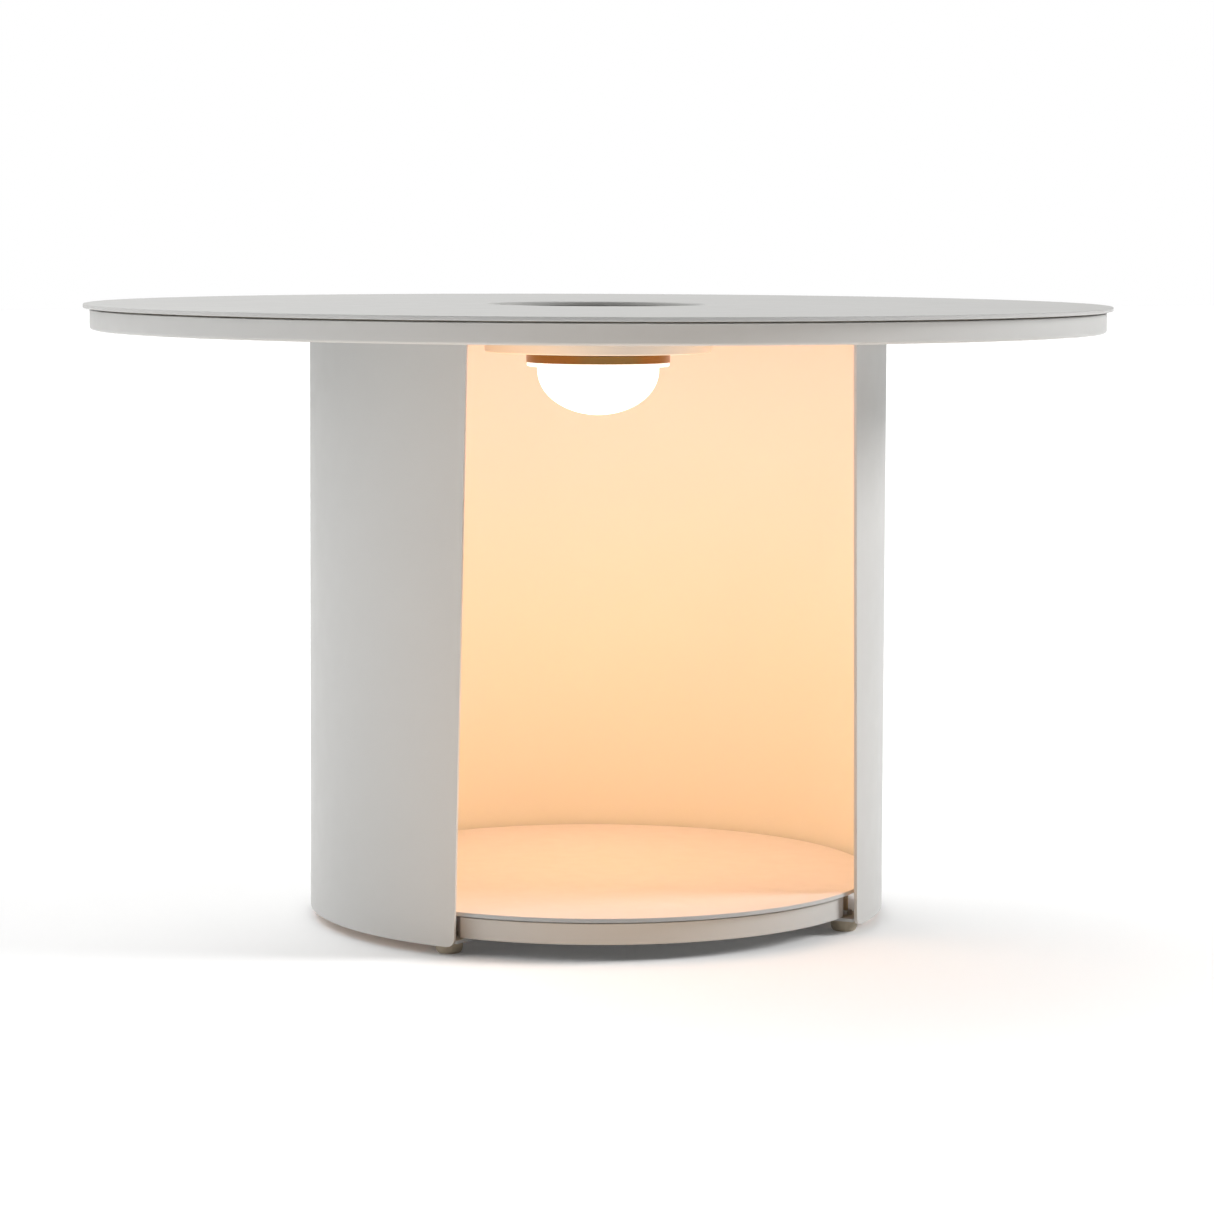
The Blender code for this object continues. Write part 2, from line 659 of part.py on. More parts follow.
def make_ceiling_plate():
    plate = turned("ceiling_plate", ring_profile(DRUM_INNER_RADIUS, CEILING_RADIUS,
                                                 CEILING_BOTTOM, CEILING_TOP), LARGE_STEPS)
    drill(plate, BOLT_RADIUS + BOLT_CLEARANCE, CEILING_BOTTOM, CEILING_TOP, bolt_places())
    return paint(plate, PAINT)


def lamp_screw_places():
    """Midway between the lips of the brass ring, the first at the back."""
    return around(LIP_COUNT, LAMP_SCREW_CIRCLE, pi)


def make_lamp_housing():
    flange = DRUM_RADIUS + DRUM_FLANGE
    corner = arc((DRUM_RADIUS - DRUM_CORNER_ROUND, DRUM_BOTTOM + DRUM_CORNER_ROUND),
                 DRUM_CORNER_ROUND, 0, -pi / 2, CORNER_STEPS)
    profile = [(0, DRUM_FLOOR), (DRUM_INNER_RADIUS, DRUM_FLOOR), (DRUM_INNER_RADIUS, DRUM_TOP)]
    profile.append((flange, DRUM_TOP))
    profile += [(flange, DRUM_TOP - DRUM_SHEET), (DRUM_RADIUS, DRUM_TOP - DRUM_SHEET)]
    profile += corner + [(0, DRUM_BOTTOM)]
    drum = turned("lamp_housing", profile, MEDIUM_STEPS, closed=False)
    holes = (
        ("lead", GROMMET_RADIUS + GROMMET_CLEARANCE, [(0, 0)], TWELVE_STEPS),
        ("button", BUTTON_RADIUS + BUTTON_CLEARANCE, [(0, BUTTON_Y)], SMALL_STEPS),
        ("socket", SOCKET_RADIUS + SOCKET_CLEARANCE, [(SOCKET_X, SOCKET_Y)], TWELVE_STEPS),
        ("lamp_screw", LAMP_SCREW_RADIUS + SEAT_GAP, lamp_screw_places(), FASTENER_STEPS),
    )
    for label, radius, places, steps in holes:
        cutter = posts("drum_%s_drill" % label, radius, DRUM_BOTTOM - CUT_OVERRUN,
                       DRUM_FLOOR + CUT_OVERRUN, places, steps, CUTTER_COLLECTION)
        boolean(drum, cutter)
    return paint(drum, PAINT)


def make_lamp_base():
    base = turned("lamp_base", ring_profile(LAMP_BASE_HOLE_RADIUS, LAMP_BASE_RADIUS,
                                            LAMP_BASE_BOTTOM, LAMP_BASE_TOP), LAMP_STEPS)
    drill(base, LAMP_SCREW_RADIUS + SEAT_GAP, LAMP_BASE_BOTTOM, LAMP_BASE_TOP, lamp_screw_places())
    level = BRASS_TOP - BRASS_FLANGE_SHEET - SEAT_GAP
    screws("lamp_screw", lamp_screw_places(), level, LAMP_SCREW_HEAD_RADIUS, LAMP_SCREW_HEAD_HEIGHT,
           LAMP_SCREW_RADIUS, DRUM_FLOOR - level)
    return paint(base, PAINT)


def make_brass_ring():
    flange_bottom = BRASS_TOP - BRASS_FLANGE_SHEET
    section = outer_corners(BRASS_RADIUS, BRASS_TOP, BRASS_BOTTOM, BRASS_EDGE_ROUND, 1)
    section += [(BRASS_INNER_RADIUS, BRASS_BOTTOM), (BRASS_INNER_RADIUS, flange_bottom)]
    section += [(BRASS_FLANGE_INNER_RADIUS, flange_bottom), (BRASS_FLANGE_INNER_RADIUS, BRASS_TOP)]
    ring = turned("brass_ring", section, LAMP_STEPS)
    root = BRASS_INNER_RADIUS + BRASS_WALL / 2
    lip_inner = BRASS_INNER_RADIUS - LIP_REACH
    lip_section = ring_profile(lip_inner, root, LIP_BOTTOM, LIP_TOP)
    stop_section = ring_profile(lip_inner, root, LIP_BOTTOM, flange_bottom + BRASS_FLANGE_SHEET / 2)
    stop_end = -LUG_HALF_ANGLE - SEAT_GAP / lip_inner
    for index in range(LIP_COUNT):
        centre = 2 * pi * index / LIP_COUNT
        lip = swept("brass_lip_%d" % index, lip_section, centre - LIP_HALF_ANGLE,
                    centre + LIP_HALF_ANGLE, 3, CUTTER_COLLECTION)
        stop = swept("brass_stop_%d" % index, stop_section, centre + stop_end - LIP_STOP_ANGLE,
                     centre + stop_end, 1, CUTTER_COLLECTION)
        boolean(ring, lip, "UNION")
        boolean(ring, stop, "UNION")
    drill(ring, LAMP_SCREW_RADIUS + SEAT_GAP, flange_bottom, BRASS_TOP, lamp_screw_places())
    return paint(ring, BRASS)


def half_ellipse(radius, drop, shoulder, steps):
    """From the shoulder down to the axis, on an ellipse."""
    angles = [pi / 2 * step / steps for step in range(steps)]
    return [(radius * cos(a), shoulder - drop * sin(a)) for a in angles] + [(0, shoulder - drop)]


def make_opal_shade():
    neck_top = SHADE_FLANGE_TOP + SHADE_NECK_HEIGHT
    neck_inner = SHADE_NECK_RADIUS - SHADE_WALL
    dome_inner = DOME_RADIUS - SHADE_WALL
    inside = half_ellipse(dome_inner, DOME_DROP - SHADE_WALL, DOME_SHOULDER, DOME_INNER_STEPS)
    inside.reverse()
    profile = inside + [(dome_inner, SHADE_FLANGE_BOTTOM), (neck_inner, SHADE_FLANGE_TOP)]
    profile += [(neck_inner, neck_top), (SHADE_NECK_RADIUS, neck_top)]
    profile += [(SHADE_NECK_RADIUS, SHADE_FLANGE_TOP), (SHADE_FLANGE_RADIUS, SHADE_FLANGE_TOP)]
    profile += [(SHADE_FLANGE_RADIUS, SHADE_FLANGE_BOTTOM), (DOME_RADIUS, SHADE_FLANGE_BOTTOM)]
    profile += half_ellipse(DOME_RADIUS, DOME_DROP, DOME_SHOULDER, DOME_STEPS)
    shade = turned("opal_shade", profile, LAMP_STEPS, closed=False)
    lug_outer = BRASS_INNER_RADIUS * cos(pi / LAMP_STEPS) - LUG_CLEARANCE
    lug_bottom = LIP_TOP + SEAT_GAP
    lug_section = ring_profile(SHADE_NECK_RADIUS - SHADE_WALL / 2, lug_outer,
                               lug_bottom, lug_bottom + LUG_HEIGHT)
    for index in range(LIP_COUNT):
        centre = 2 * pi * index / LIP_COUNT
        lug = swept("shade_lug_%d" % index, lug_section, centre - LUG_HALF_ANGLE,
                    centre + LUG_HALF_ANGLE, 2, CUTTER_COLLECTION)
        boolean(shade, lug, "UNION")
    paint(shade, OPAL)
    gasket_bottom = SHADE_FLANGE_TOP + SEAT_GAP
    gasket = turned("shade_gasket", ring_profile(
        SHADE_NECK_RADIUS / cos(pi / LAMP_STEPS) + SEAT_GAP,
        BRASS_INNER_RADIUS * cos(pi / LAMP_STEPS) - SEAT_GAP,
        gasket_bottom, gasket_bottom + GASKET_HEIGHT), LAMP_STEPS)
    return paint(gasket, SILICONE)


def make_light_source():
    spreader = turned("heat_spreader", ring_profile(LAMP_BASE_HOLE_RADIUS, SPREADER_RADIUS,
                                                    SPREADER_BOTTOM, BRASS_TOP), LAMP_STEPS)
    paint(spreader, ALUMINIUM)
    board_profile = [(0, BOARD_TOP), (BOARD_RADIUS, BOARD_TOP), (BOARD_RADIUS, BOARD_BOTTOM),
                     (0, BOARD_BOTTOM)]
    board = turned("led_board", board_profile, LAMP_STEPS, closed=False)
    places = around(PACKAGE_COUNT, PACKAGE_CIRCLE)
    places += around(INNER_PACKAGE_COUNT, INNER_PACKAGE_CIRCLE)

    def build(work):
        for x, y in places:
            frame = Matrix.Translation((x, y, BOARD_BOTTOM)) @ Matrix.Rotation(atan2(y, x), 4, "Z")
            frame = frame @ Matrix.Diagonal((PACKAGE_SIDE, PACKAGE_SIDE, 2 * PACKAGE_HEIGHT, 1))
            bmesh.ops.create_cube(work, size=1, matrix=frame)
    packages = add_object("led_packages", mesh_from("led_packages", build), CUTTER_COLLECTION)
    boolean(board, packages, "UNION")
    return paint(board, BOARD_WHITE)


def make_battery():
    """Cells side by side in one shrink wrap, lying in a cradle with a low rim."""
    round_end = CELL_RADIUS + WRAP_THICKNESS
    reach = CELL_RADIUS * (CELL_COUNT - 1)
    outline = arc((reach, 0), round_end, -pi / 2, pi / 2, WRAP_END_STEPS)
    outline += arc((-reach, 0), round_end, pi / 2, 3 * pi / 2, WRAP_END_STEPS)
    pack = add_object("battery_pack", flat_plate("battery_pack", [outline], CELL_LENGTH))
    pack.location = (BATTERY_X, 0, BAY_FLOOR + CRADLE_FLOOR + SEAT_GAP + round_end)
    pack.rotation_euler = (pi / 2, 0, 0)
    paint(pack, CELL_WRAP)
    centre = Vector((BATTERY_X, 0, BAY_FLOOR + CRADLE_HEIGHT / 2))
    outside = Vector((2 * CRADLE_HALF_WIDTH, 2 * CRADLE_HALF_LENGTH, CRADLE_HEIGHT))
    cradle = box("battery_cradle", outside, centre)
    inside = outside - 2 * Vector((CRADLE_RIM, CRADLE_RIM, 0))
    pocket = box("cradle_pocket", inside, centre + Vector((0, 0, CRADLE_FLOOR)), CUTTER_COLLECTION)
    boolean(cradle, pocket)
    return paint(cradle, BLACK_PLASTIC)


def make_control_module():
    module = box("control_module", (MODULE_WIDTH, MODULE_LENGTH, MODULE_HEIGHT),
                 (MODULE_X, 0, BAY_FLOOR + MODULE_HEIGHT / 2))
    return paint(round_edges(module, MODULE_EDGE_ROUND, 1), BLACK_PLASTIC)


def make_lead(name, route):
    return paint(tube(name, smooth_route(route, LEAD_CURVE_STEPS), LEAD_RADIUS, 1), LEAD_GREY)


def make_leads():
    """Battery, lamp, switch and socket leads, laid on the drum's floor."""
    level = BAY_FLOOR + LEAD_RADIUS
    face = MODULE_X - MODULE_WIDTH / 2 - SEAT_GAP
    back = MODULE_LENGTH / 2 + SEAT_GAP
    cradle_face = BATTERY_X + CRADLE_HALF_WIDTH + SEAT_GAP
    beside = -GROMMET_FLANGE_RADIUS - LEAD_EXIT
    make_lead("battery_lead", [(cradle_face, beside, level), (cradle_face + LEAD_EXIT, beside, level),
                               (0, beside - LEAD_SAG, level), (face - LEAD_EXIT, beside, level),
                               (face, beside, level)])
    bush_top = BAY_FLOOR + GROMMET_FLANGE_THICKNESS
    arch = bush_top + LAMP_LEAD_RISE
    make_lead("lamp_lead", [(face, 0, level), (face - LEAD_EXIT, 0, level), (LEAD_EXIT, 0, arch),
                            (LEAD_RADIUS, 0, arch), (0, 0, bush_top), (0, 0, LAMP_BASE_TOP),
                            (0, 0, BOARD_TOP + SEAT_GAP)])
    switch_x = MODULE_X - MODULE_WIDTH / 4
    switch_y = BUTTON_Y - SWITCH_RADIUS - SEAT_GAP
    make_lead("switch_lead", [(0, switch_y, level), (0, switch_y - LEAD_EXIT, level),
                              (switch_x / 2, (switch_y + back) / 2, level),
                              (switch_x, back + LEAD_EXIT, level), (switch_x, back, level)])
    socket_start = SOCKET_X + SOCKET_RADIUS + SEAT_GAP
    make_lead("socket_lead", [(socket_start, SOCKET_Y, level),
                              (socket_start + LEAD_EXIT, SOCKET_Y, level),
                              (MODULE_X - LEAD_SAG / 2, (SOCKET_Y + back) / 2 + LEAD_SAG, level),
                              (MODULE_X, back + LEAD_EXIT, level), (MODULE_X, back, level)])
    grommet = turned("lead_grommet", [
        (GROMMET_FLANGE_RADIUS, bush_top), (GROMMET_FLANGE_RADIUS, BAY_FLOOR),
        (GROMMET_RADIUS, BAY_FLOOR), (GROMMET_RADIUS, DRUM_BOTTOM), (GROMMET_BORE_RADIUS, DRUM_BOTTOM),
        (GROMMET_BORE_RADIUS, bush_top)], TWELVE_STEPS)
    return paint(grommet, DARK_RUBBER)


def make_push_button():
    """Button, switch housing and spring. The button's origin is at the drum's underside."""
    flange_bottom = DRUM_SHEET + SEAT_GAP
    flange_top = flange_bottom + BUTTON_FLANGE_THICKNESS
    roof = SWITCH_HEIGHT - SWITCH_WALL
    stem_top = DRUM_SHEET + roof - BUTTON_TRAVEL
    cap_edge = arc((BUTTON_RADIUS - BUTTON_EDGE_ROUND, BUTTON_EDGE_ROUND - BUTTON_PROUD),
                   BUTTON_EDGE_ROUND, 0, -pi / 2, CORNER_STEPS)
    profile = [(0, stem_top), (BUTTON_STEM_RADIUS, stem_top), (BUTTON_STEM_RADIUS, flange_top),
               (BUTTON_FLANGE_RADIUS, flange_top), (BUTTON_FLANGE_RADIUS, flange_bottom),
               (BUTTON_RADIUS, flange_bottom)] + cap_edge + [(0, -BUTTON_PROUD)]
    button = turned("push_button", profile, SMALL_STEPS, closed=False)
    button.location = (0, BUTTON_Y, DRUM_BOTTOM)
    paint(button, PAINT)
    inner = SWITCH_RADIUS - SWITCH_WALL
    shell = [(0, SWITCH_HEIGHT), (SWITCH_RADIUS, SWITCH_HEIGHT), (SWITCH_RADIUS, 0), (inner, 0),
             (inner, roof), (0, roof)]
    housing = turned("switch_housing", shell, SMALL_STEPS, closed=False)
    housing.location = (0, BUTTON_Y, BAY_FLOOR)
    paint(housing, BLACK_PLASTIC)
    low = flange_top + SEAT_GAP + SPRING_WIRE_RADIUS
    high = DRUM_SHEET + roof - SPRING_WIRE_RADIUS
    count = SPRING_TURNS * SPRING_POINTS_PER_TURN
    helix = []
    for index in range(count + 1):
        angle = 2 * pi * index / SPRING_POINTS_PER_TURN
        rise = low + (high - low) * index / count
        helix.append((SPRING_COIL_RADIUS * cos(angle), SPRING_COIL_RADIUS * sin(angle), rise))
    spring = tube("button_spring", helix, SPRING_WIRE_RADIUS, 0)
    spring.location = (0, BUTTON_Y, DRUM_BOTTOM)
    return paint(spring, SPRING_STEEL)


def make_charging_socket():
    bezel_top = -SEAT_GAP
    bezel_bottom = bezel_top - SOCKET_BEZEL_THICKNESS
    body_top = DRUM_SHEET + SOCKET_HEIGHT
    bore_top = bezel_bottom + SOCKET_BORE_DEPTH
    profile = [(0, body_top), (SOCKET_RADIUS, body_top), (SOCKET_RADIUS, bezel_top),
               (SOCKET_BEZEL_RADIUS, bezel_top), (SOCKET_BEZEL_RADIUS, bezel_bottom),
               (SOCKET_BORE_RADIUS, bezel_bottom), (SOCKET_BORE_RADIUS, bore_top), (0, bore_top)]
    socket = turned("charging_socket", profile, SMALL_STEPS, closed=False)
    socket.location = (SOCKET_X, SOCKET_Y, DRUM_BOTTOM)
    return paint(socket, BLACK_PLASTIC)


def make_tray():
    outline = outer_corners(TRAY_RADIUS, TRAY_HEIGHT, TRAY_UNDERSIDE, TRAY_EDGE_ROUND, 1)
    profile = [(0, TRAY_HEIGHT)] + outline + [(0, TRAY_UNDERSIDE)]
    paint(turned("tray_plate", profile, LARGE_STEPS, closed=False), PAINT)
    strip_outer = SKIRT_RADIUS - REVEAL_SETBACK
    strip_inner = SKIRT_RADIUS - SKIRT_TOP_FLANGE
    strip = swept("tray_reveal_strip", ring_profile(strip_inner, strip_outer, SKIRT_TOP + SEAT_GAP,
                                                    TRAY_UNDERSIDE - SEAT_GAP),
                  -SKIRT_HALF_ANGLE, SKIRT_HALF_ANGLE, SKIRT_STEPS)
    return paint(strip, DARK_RUBBER)


def make_tray_skirt():
    """A curved face with an inward top flange, and a return turned in at each end."""
    inside = SKIRT_RADIUS - SKIRT_SHEET
    flange_edge = SKIRT_RADIUS - SKIRT_TOP_FLANGE
    section = [(SKIRT_RADIUS, SKIRT_TOP), (SKIRT_RADIUS, SKIRT_BOTTOM), (inside, SKIRT_BOTTOM),
               (inside, SKIRT_TOP - SKIRT_SHEET), (flange_edge, SKIRT_TOP - SKIRT_SHEET),
               (flange_edge, SKIRT_TOP)]
    skirt = swept("tray_skirt", section, -SKIRT_HALF_ANGLE, SKIRT_HALF_ANGLE, SKIRT_STEPS)
    return_angle = SKIRT_SHEET / SKIRT_RADIUS
    return_section = ring_profile(SKIRT_RADIUS - SKIRT_RETURN, SKIRT_RADIUS - SKIRT_SHEET / 2,
                                  SKIRT_BOTTOM, SKIRT_TOP)
    for label, start in (("left", -SKIRT_HALF_ANGLE), ("right", SKIRT_HALF_ANGLE - return_angle)):
        flap = swept("skirt_return_" + label, return_section, start, start + return_angle,
                     1, CUTTER_COLLECTION)
        boolean(skirt, flap, "UNION")
    return paint(skirt, PAINT)


def make_foot_bracket(label, angle):
    """A folded bracket that holds a foot's stud and carries the tray plate, facing outwards."""
    inner_wall = WALL_INNER_RADIUS * cos(pi / LARGE_STEPS) - SEAT_GAP
    reach = sqrt(inner_wall ** 2 - (BRACKET_WIDTH / 2) ** 2)
    web = reach - BRACKET_DEPTH
    flange_end = web - BRACKET_TOP_FLANGE + BRACKET_SHEET
    bottom = BRACKET_BOTTOM + BRACKET_SHEET
    outline = [(reach, BRACKET_BOTTOM), (reach, bottom), (web + BRACKET_SHEET, bottom),
               (web + BRACKET_SHEET, BRACKET_TOP), (flange_end, BRACKET_TOP),
               (flange_end, BRACKET_TOP - BRACKET_SHEET), (web, BRACKET_TOP - BRACKET_SHEET),
               (web, BRACKET_BOTTOM)]
    name = "foot_bracket_" + label
    bracket = add_object(name, flat_plate(name, [outline], BRACKET_WIDTH))
    bracket.rotation_euler = (pi / 2, 0, angle - pi / 2)
    drill(bracket, STUD_RADIUS + STUD_CLEARANCE, BRACKET_BOTTOM, bottom,
          [on_circle(FOOT_CIRCLE, angle)], TWELVE_STEPS)
    return paint(bracket, PAINT)


def make_foot(label, angle):
    """A glide with its stud moulded in, and a lock nut. Its origin is on the floor."""
    x, y = on_circle(FOOT_CIRCLE, angle)
    swell = PAD_RADIUS - PAD_BASE_RADIUS
    side = [(PAD_BASE_RADIUS + swell * out, PAD_SHOULDER_HEIGHT * up)
            for out, up in arc((0, 1), 1, 0, -pi / 2, PAD_SIDE_STEPS)]
    profile = [(0, STUD_TOP), (STUD_RADIUS, STUD_TOP), (STUD_RADIUS, PAD_HEIGHT),
               (PAD_RADIUS - PAD_TOP_ROUND, PAD_HEIGHT), (PAD_RADIUS, PAD_HEIGHT - PAD_TOP_ROUND)]
    foot = turned("levelling_foot_" + label, profile + side + [(0, 0)], TWELVE_STEPS, closed=False)
    foot.location = (x, y, 0)
    paint(foot, GLIDE_BEIGE)
    bottom = BRACKET_BOTTOM + BRACKET_SHEET + SEAT_GAP
    nut = posts("lock_nut_" + label, LOCK_NUT_CORNER_RADIUS, bottom, bottom + LOCK_NUT_HEIGHT,
                [(x, y)], NUT_SIDES)
    bore = (STUD_RADIUS + SEAT_GAP) / cos(pi / FASTENER_STEPS)
    drill(nut, bore, bottom, bottom + LOCK_NUT_HEIGHT, [(x, y)])
    return paint(nut, ZINC)


def make_base_hardware():
    for label, angle in FEET:
        make_foot_bracket(label, angle)
        make_foot(label, angle)


def main():
    clear_scene()
    make_tabletop()
    make_rim()
    make_ribs()
    make_hub_plate()
    make_well_pan()
    make_bolts()
    make_pedestal_wall()
    make_ceiling_plate()
    make_lamp_housing()
    make_lamp_base()
    make_brass_ring()
    make_opal_shade()
    make_light_source()
    make_battery()
    make_control_module()
    make_leads()
    make_push_button()
    make_charging_socket()
    make_tray()
    make_tray_skirt()
    make_base_hardware()
    bpy.context.view_layer.update()


main()
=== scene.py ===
from math import atan2, cos, pi, radians, sin, sqrt

import bmesh
import bpy
from bpy.props import FloatProperty, FloatVectorProperty, IntProperty, PointerProperty
from mathutils import Matrix, Vector


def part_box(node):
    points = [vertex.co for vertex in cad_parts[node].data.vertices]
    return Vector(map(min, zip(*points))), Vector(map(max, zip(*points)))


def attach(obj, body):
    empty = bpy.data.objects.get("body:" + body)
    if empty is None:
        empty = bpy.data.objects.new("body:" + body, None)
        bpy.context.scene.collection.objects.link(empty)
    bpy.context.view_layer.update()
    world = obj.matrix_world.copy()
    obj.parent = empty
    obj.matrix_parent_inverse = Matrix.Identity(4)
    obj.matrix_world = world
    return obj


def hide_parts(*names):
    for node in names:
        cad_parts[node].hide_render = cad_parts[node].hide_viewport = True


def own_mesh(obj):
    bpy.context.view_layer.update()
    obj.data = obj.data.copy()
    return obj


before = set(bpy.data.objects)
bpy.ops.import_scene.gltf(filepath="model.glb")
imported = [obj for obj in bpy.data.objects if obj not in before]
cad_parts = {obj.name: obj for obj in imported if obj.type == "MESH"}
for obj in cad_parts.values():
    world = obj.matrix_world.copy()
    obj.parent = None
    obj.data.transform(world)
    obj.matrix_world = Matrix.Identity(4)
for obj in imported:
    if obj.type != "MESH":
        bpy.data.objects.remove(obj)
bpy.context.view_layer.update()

bl_info = {
    "name": "Round dining table with a lit pedestal",
    "version": (1, 0, 0),
    "blender": (4, 5, 0),
    "location": "3D View > Sidebar > Table",
    "description": "Dresses the table's packed frame with finished pieces, finishes and a studio",
    "category": "Add Mesh",
}

FULL_TURN = 2 * pi
SMOOTH_ANGLE = radians(40)
FEET = ("front_left", "front_right", "back_right", "back_left")
LUGS = 3
RIB_SLOTS = 2
DRUM_SCREWS = 6
SKIRT_STEPS = 60
DOME_STEPS = 20

# Tolerances and gaps, in metres
NEAR = 0.00002
SEAT_GAP = 0.0003
DRILL_REACH = 0.01
NUT_OVERSHOOT = 0.001
WELL_OVERHANG = 0.0005
RIB_CLEARANCE = 0.0012
RIB_NOTCH_ROUND = 0.001
HUB_CLEARANCE = 0.002
BRACKET_CLEARANCE = 0.0007

# Radii of the hardware and of the holes it goes through, in metres
BOLT_HEAD, BOLT_SHANK = 0.007, 0.004
SCREW_HEAD, SCREW_SHANK = 0.0047, 0.0024
WELD_NUT, WELD_NUT_BORE = 0.0075, 0.0042
LOCK_NUT, LOCK_NUT_BORE = 0.0098, 0.0051
BUTTON_HOLE, SOCKET_HOLE, LEAD_HOLE, STUD_HOLE = 0.0068, 0.0062, 0.005, 0.0055

# The twist lock: angles of the ring's lips and stops and of the shade's lugs, and their heights
LIP_ANGLE, STOP_ANGLE, STOP_TURN, LUG_ANGLE = radians(30), radians(4), radians(12.2), radians(16)
LIP_RISE, LIP_HEIGHT, LUG_RISE, LUG_HEIGHT = 0.0018, 0.0022, 0.0043, 0.0025
LUG_REACH, GASKET_INNER = 0.0849, 0.0831

# The finish of each material slot, and of the CAD nodes that stay inside the drum
SLOT_FINISHES = {
    "paint": "powder_coat",
    "brass": "brushed_brass",
    "opal": "opal_plastic",
    # The reveal strips' darker taupe finish is painted shade in the reveal gaps
    "dark_rubber": "rubber_and_painted_reveal_shade",
    "silicone": "silicone",
    "zinc": "plated_steel",
    "spring_steel": "spring_wire",
    "black_plastic": "black_moulding",
    "glide_beige": "glide_moulding",
}
HIDDEN_FINISHES = {
    "turned_aluminium": ("heat_spreader",),
    "light_board": ("led_board",),
    "shrink_film": ("battery_pack",),
    "black_moulding": ("battery_cradle", "control_module", "switch_housing"),
    "wire_jacket": ("battery_lead", "lamp_lead", "switch_lead", "socket_lead"),
    "rubber_and_painted_reveal_shade": ("lead_grommet",),
    "plated_steel": ("lamp_screw_1", "lamp_screw_2", "lamp_screw_3"),
}

RUBBER_TONES = {
    # The reveal strips' taupe, darker than the paint, is painted shade in the gaps; the grommet
    # inside the drum shares the tone
    "rubber_and_painted_reveal_shade": (0.40, 0.35, 0.28),
    "silicone": (0.74, 0.74, 0.72),
    "wire_jacket": (0.17, 0.17, 0.17),
}

# Lights. A soft box has its angle from the camera in degrees, positive towards the camera's
# right, its angle of rise, its tightness and its strength.
SOFT_BOXES = ((180, 45, 8, 0.55), (-75, 12, 8, 0.85), (-75, 45, 8, 1.00), (-145, 45, 8, 3.15),
              (-85, 15, 28, 2.25))
NICHE_PIECES = ("wall_shell", "tray_disc", "lamp_drum", "ceiling_ring", "brass_bayonet",
                "opal_dome", "button_cap", "charge_port")
FALLOFF_POWERS = {"Linear": 1, "Constant": 2}
FALLOFF_REACH = 0.40


def length(name, description, default):
    return FloatProperty(name=name, description=description, default=default, min=0,
                         unit="LENGTH", subtype="DISTANCE")


def angle(name, description, default):
    return FloatProperty(name=name, description=description, default=radians(default),
                         unit="ROTATION", subtype="ANGLE")


def count(name, description, default):
    return IntProperty(name=name, description=description, default=default, min=3)


def factor(name, description, default):
    return FloatProperty(name=name, description=description, default=default, min=0)


def colour(name, description, default):
    return FloatVectorProperty(name=name, description=description, default=default, size=3,
                               min=0, max=1, subtype="COLOR")


class TableSizes(bpy.types.PropertyGroup):
    large_steps: count("Large steps", "Steps round the top, the rim, the wall and the tray", 240)
    lamp_steps: count("Lamp steps", "Steps round the drum, the brass ring and the shade", 128)
    small_steps: count("Small steps", "Steps round feet, screws and the button", 48)
    round_steps: count("Corner steps", "Steps in a rounded corner of a section", 4)
    plate_round: length("Plate edge", "Round of the top's and the tray's edges", 0.0012)
    lip_round: length("Well lip", "Round of the well's upper edge", 0.0025)
    cut_round: length("Cut edge", "Round of a laser-cut sheet edge", 0.0004)
    fold_round: length("Fold", "Outer round of a folded sheet", 0.0035)
    crisp_round: length("Crisp fold", "Outer round of the fold at a reveal", 0.0010)
    sheet: length("Sheet", "Thickness of the folded sheets", 0.003)
    rim_lower_flange: length("Rim lower flange", "Width of the rim's lower flange", 0.024)
    rim_upper_flange: length("Rim upper flange", "Width of the rim's upper flange", 0.032)
    wall_sheet: length("Wall sheet", "Thickness of the rolled wall", 0.004)
    wall_corner: length("Wall corner", "Round of the wall's lower front corners", 0.010)
    opening_top: angle("Opening at the top", "Half angle of the opening at its top", 42.5)
    opening_bottom: angle("Opening at the bottom", "Half angle of the opening at its foot", 45.0)
    well_sheet: length("Well sheet", "Thickness of the well pan", 0.002)
    well_flange: length("Well flange", "Width of the well pan's flange", 0.0095)
    well_corner: length("Well corner", "Inner round of the well pan's corner", 0.008)
    drum_sheet: length("Drum sheet", "Thickness of the drum", 0.002)
    drum_flange: length("Drum flange", "Width of the drum's flange", 0.021)
    drum_corner: length("Drum corner", "Round of the drum's lower edge", 0.0022)
    rib_thickness: length("Rib thickness", "Thickness of the ribs", 0.004)
    rib_slot_length: length("Rib slot length", "Length of a lightening slot", 0.140)
    rib_slot_height: length("Rib slot height", "Height of a lightening slot", 0.009)
    hub_sheet: length("Hub sheet", "Thickness of the hub plate and the ceiling plate", 0.004)
    skirt_flange: length("Skirt flange", "Width of the skirt's upper flange", 0.018)
    skirt_return: length("Skirt return", "Depth of the flaps at the skirt's ends", 0.020)
    skirt_half_angle: angle("Skirt half angle", "Half of the angle that the skirt spans", 45.4)
    spring_wire: length("Spring wire", "Thickness of the button spring's wire", 0.0008)
    spring_turns: count("Spring turns", "Turns of the button spring", 4)
    button_travel: length("Button travel", "How far the button goes in", 0.0015)
    reveal_width: length("Reveal strip", "Width of the strip under the tabletop", 0.018)
    tray_reveal_setback: length("Tray reveal", "Set-back of the strip under the tray", 0.006)
    bracket_width: length("Bracket width", "Width of a foot bracket", 0.050)
    bracket_foot: length("Bracket foot", "From a bracket's web out to its end", 0.046)
    bracket_flange: length("Bracket flange", "From a bracket's web in to its end", 0.024)
    shade_wall: length("Shade wall", "Thickness of the opal shade", 0.003)
    shade_neck: length("Shade neck", "Outer radius of the shade's neck", 0.0825)
    shade_dome: length("Shade dome", "Outer radius of the dome", 0.0745)
    shade_flange: length("Shade flange", "Thickness of the shade's flange", 0.0045)
    shade_shoulder: length("Shade shoulder", "Straight part of the dome under the flange", 0.0055)


